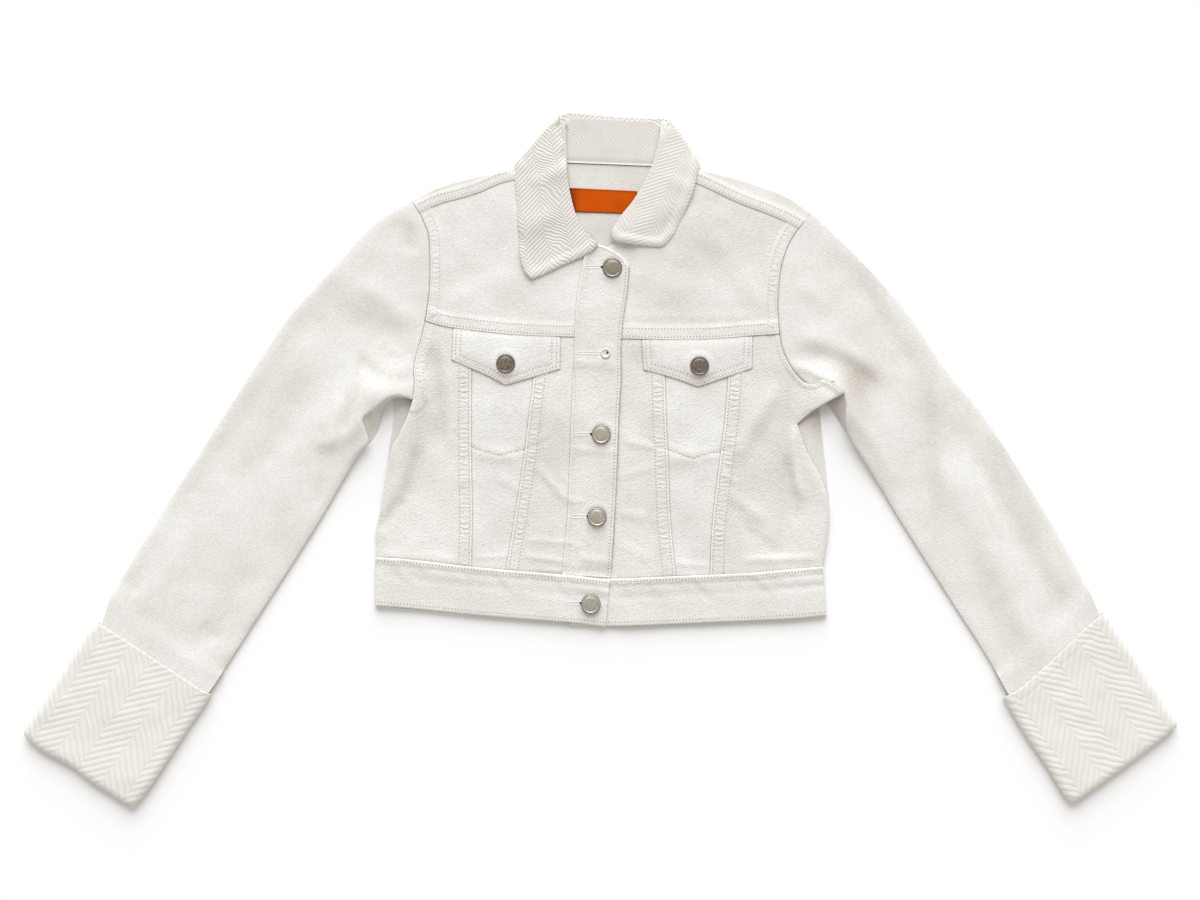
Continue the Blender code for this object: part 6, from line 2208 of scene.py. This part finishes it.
def make_turned(name, place, radius, height, profile, material, slot, node=None):
    """A round body with a flat back, from the place of its foot's middle up."""
    x, y, base = place
    turns = [2 * math.pi * k / BUTTON_TURNS for k in range(BUTTON_TURNS)]
    points = []
    for share, level in profile[:-1]:
        reach, z = share * radius, base + level * height
        points += [(x + reach * math.cos(turn), y + reach * math.sin(turn), z) for turn in turns]
    points.append((x, y, base + profile[-1][1] * height))
    last = (len(profile) - 2) * BUTTON_TURNS
    faces = []
    for low in range(0, last, BUTTON_TURNS):
        faces += ring_faces(low, low + BUTTON_TURNS, BUTTON_TURNS)
    faces += [(last + k, last + (k + 1) % BUTTON_TURNS, len(points) - 1) for k in range(BUTTON_TURNS)]
    faces.append(tuple(range(BUTTON_TURNS - 1, -1, -1)))
    make_piece(name, points, faces, material, slot, node, sharp=60.0)


def build_buttons():
    for button in BUTTONS:
        low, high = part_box(button.name)
        place = (button.x, button.y, low[2] / MM)
        height = (high[2] - low[2]) / MM
        finish = BUTTON_FINISHES.get(button.name, "pale_metal")
        dish = f"{button.name}_dish"
        if button.name == "button_2":
            make_turned(dish, place, button.radius, height, SMALL_DISH, finish, "white_plastic", button.name)
            # a dark disc that paints the shade in the button's hole
            hole = (button.x + 1.6, button.y + 0.6, place[2] + 0.74 * height)
            make_turned("button_2_eyelet", hole, 1.1, 0.5, SMALL_DISH, "hole", "white_plastic")
        else:
            make_turned(dish, place, button.radius, height, DISH, finish, "metal", button.name)
            make_turned(f"{button.name}_rim", place, button.radius, height, RIM, "rim", "metal")


# Buttonholes: x from and to, y, and the piece that each is cut in
Buttonhole = namedtuple("Buttonhole", "x0 x1 y piece")
BUTTONHOLES = (
    Buttonhole(-15.3, 2.0, 179.4, "placket"),
    Buttonhole(-21.8, 1.0, 99.5, "placket"),
    Buttonhole(-24.6, -8.0, 24.2, "placket"),
    Buttonhole(-27.4, -11.5, -52.5, "placket"),
    Buttonhole(-33.0, -17.5, -133.0, "waistband_left"),
)


# How far an eyelet's middle lies from the end of its buttonhole
EYELET_IN = 0.7
HOLE_RADIUS = 1.25
HOLE_RUN = 40
HOLE_TURN = 8
HOLE_SIDES = 6
# Height of a buttonhole where the cloth under it isn't found
HOLE_LEVEL = 6.0
# Thick and thin places of the thread round a buttonhole, how flat it lies and how far it stands up
THICK_THREAD = 0.5
THIN_THREAD = 0.38
THREAD_FLAT = 0.55
THREAD_LIFT = 0.1


def hole_loop(hole):
    """Points round a buttonhole: along its upper side, round its end, back and round its start."""
    run = hole.x1 - hole.x0 - 2 * HOLE_RADIUS
    ends = (hole.x0 + HOLE_RADIUS, hole.x1 - HOLE_RADIUS)
    loop = []
    for way, start, end in ((1, *ends), (-1, *ends[::-1])):
        for k in range(HOLE_RUN):
            loop.append((start + way * run * k / (HOLE_RUN - 1), hole.y + way * HOLE_RADIUS))
        for k in range(1, HOLE_TURN):
            angle = way * math.pi / 2 - math.pi * k / HOLE_TURN
            loop.append((end + HOLE_RADIUS * math.cos(angle), hole.y + HOLE_RADIUS * math.sin(angle)))
    return loop


def build_buttonholes():
    """A raised band of close stitches round a slit, and next to the button a dark eyelet disc that paints
    the shade in the hole.
    """
    for number, hole in enumerate(BUTTONHOLES, 1):
        tree = tree_of(hole.piece)
        loop = hole_loop(hole)
        count = len(loop)
        points = []
        faces = []
        for k, (x, y) in enumerate(loop):
            before, after = np.array(loop[k - 1]), np.array(loop[(k + 1) % count])
            run = (after - before) / np.linalg.norm(after - before)
            height = (top_of(tree, x, y) or HOLE_LEVEL) + THREAD_LIFT
            size = THICK_THREAD if k % 2 else THIN_THREAD
            for turn in range(HOLE_SIDES):
                angle = 2 * math.pi * turn / HOLE_SIDES
                side = size * math.cos(angle)
                z = height + THREAD_FLAT * size * math.sin(angle)
                points.append((x - run[1] * side, y + run[0] * side, z))
            faces += ring_faces(k * HOLE_SIDES, (k + 1) % count * HOLE_SIDES, HOLE_SIDES)
        make_piece(f"buttonhole_{number}", points, faces, "thread", "denim")
        if number != 2:
            eye = hole.x1 - EYELET_IN
            place = (eye, hole.y, top_of(tree, eye, hole.y) or HOLE_LEVEL)
            make_turned(f"eyelet_{number}", place, 1.3, 0.45, SMALL_DISH, "hole", "denim")


# -------- stage


# Half the floor's width and its height, in metres
FLOOR_REACH = 4.0
FLOOR_LEVEL = -0.0003


def build_floor():
    mesh = bpy.data.meshes.new("floor")
    sides = ((-1, -1), (1, -1), (1, 1), (-1, 1))
    corners = [(x * FLOOR_REACH, y * FLOOR_REACH, FLOOR_LEVEL) for x, y in sides]
    mesh.from_pydata(corners, [], [(0, 1, 2, 3)])
    mesh.materials.append(base_material("white floor", (0.94, 0.94, 0.94), 1.0, 0.0)[0])
    floor = add_object("floor", mesh)


LENS = 85.0
SENSOR = 36.0
VIEW_LEVEL = 4.0
SKY = 0.55
SKY_COLOUR = (1.0, 0.95, 0.885)
SUN = 3.68
SUN_COLOUR = (0.888, 0.938, 1.0)
SUN_TILT = 60.0
SUN_SPREAD = 54.0


def build_camera():
    """Straight above, so that the photograph's frame falls on the garment's level."""
    data = bpy.data.cameras.new("camera")
    data.lens = LENS
    data.sensor_width = SENSOR
    data.sensor_fit = "HORIZONTAL"
    camera = add_object("camera", data)
    x = (PHOTO_WIDTH / 2 - PHOTO_ORIGIN[0]) * PIXEL + SHIFT[0]
    y = (PHOTO_ORIGIN[1] - PHOTO_HEIGHT / 2) * PIXEL + SHIFT[1]
    distance = PHOTO_WIDTH * PIXEL * LENS / SENSOR
    camera.location = (x * MM, y * MM, (distance + VIEW_LEVEL) * MM)
    data.clip_end = 20.0
    bpy.context.scene.camera = camera


def build_lights():
    world = bpy.data.worlds.new("studio")
    world.use_nodes = True
    sky = world.node_tree.nodes["Background"]
    sky.inputs["Color"].default_value = (*SKY_COLOUR, 1.0)
    sky.inputs["Strength"].default_value = SKY
    bpy.context.scene.world = world
    data = bpy.data.lights.new("window", "SUN")
    data.energy = SUN
    data.color = SUN_COLOUR
    data.angle = math.radians(SUN_SPREAD)
    sun = add_object("window", data)
    sun.rotation_euler = (-math.radians(SUN_TILT), 0.0, 0.0)
    bpy.context.scene.view_settings.view_transform = "Standard"
    bpy.context.scene.view_settings.look = "None"


build_floor()
build_camera()
build_lights()
build_back_body()
build_back_band()
build_back_yoke()
build_label()
build_front_yokes()
build_front_panels()
build_waistband()
build_placket()
build_flaps()
build_collar_stand()
build_collar_fall()
for side in SIDES:
    build_sleeve(side)
    build_cuff(side)
build_buttons()
build_buttonholes()
build_stitches()
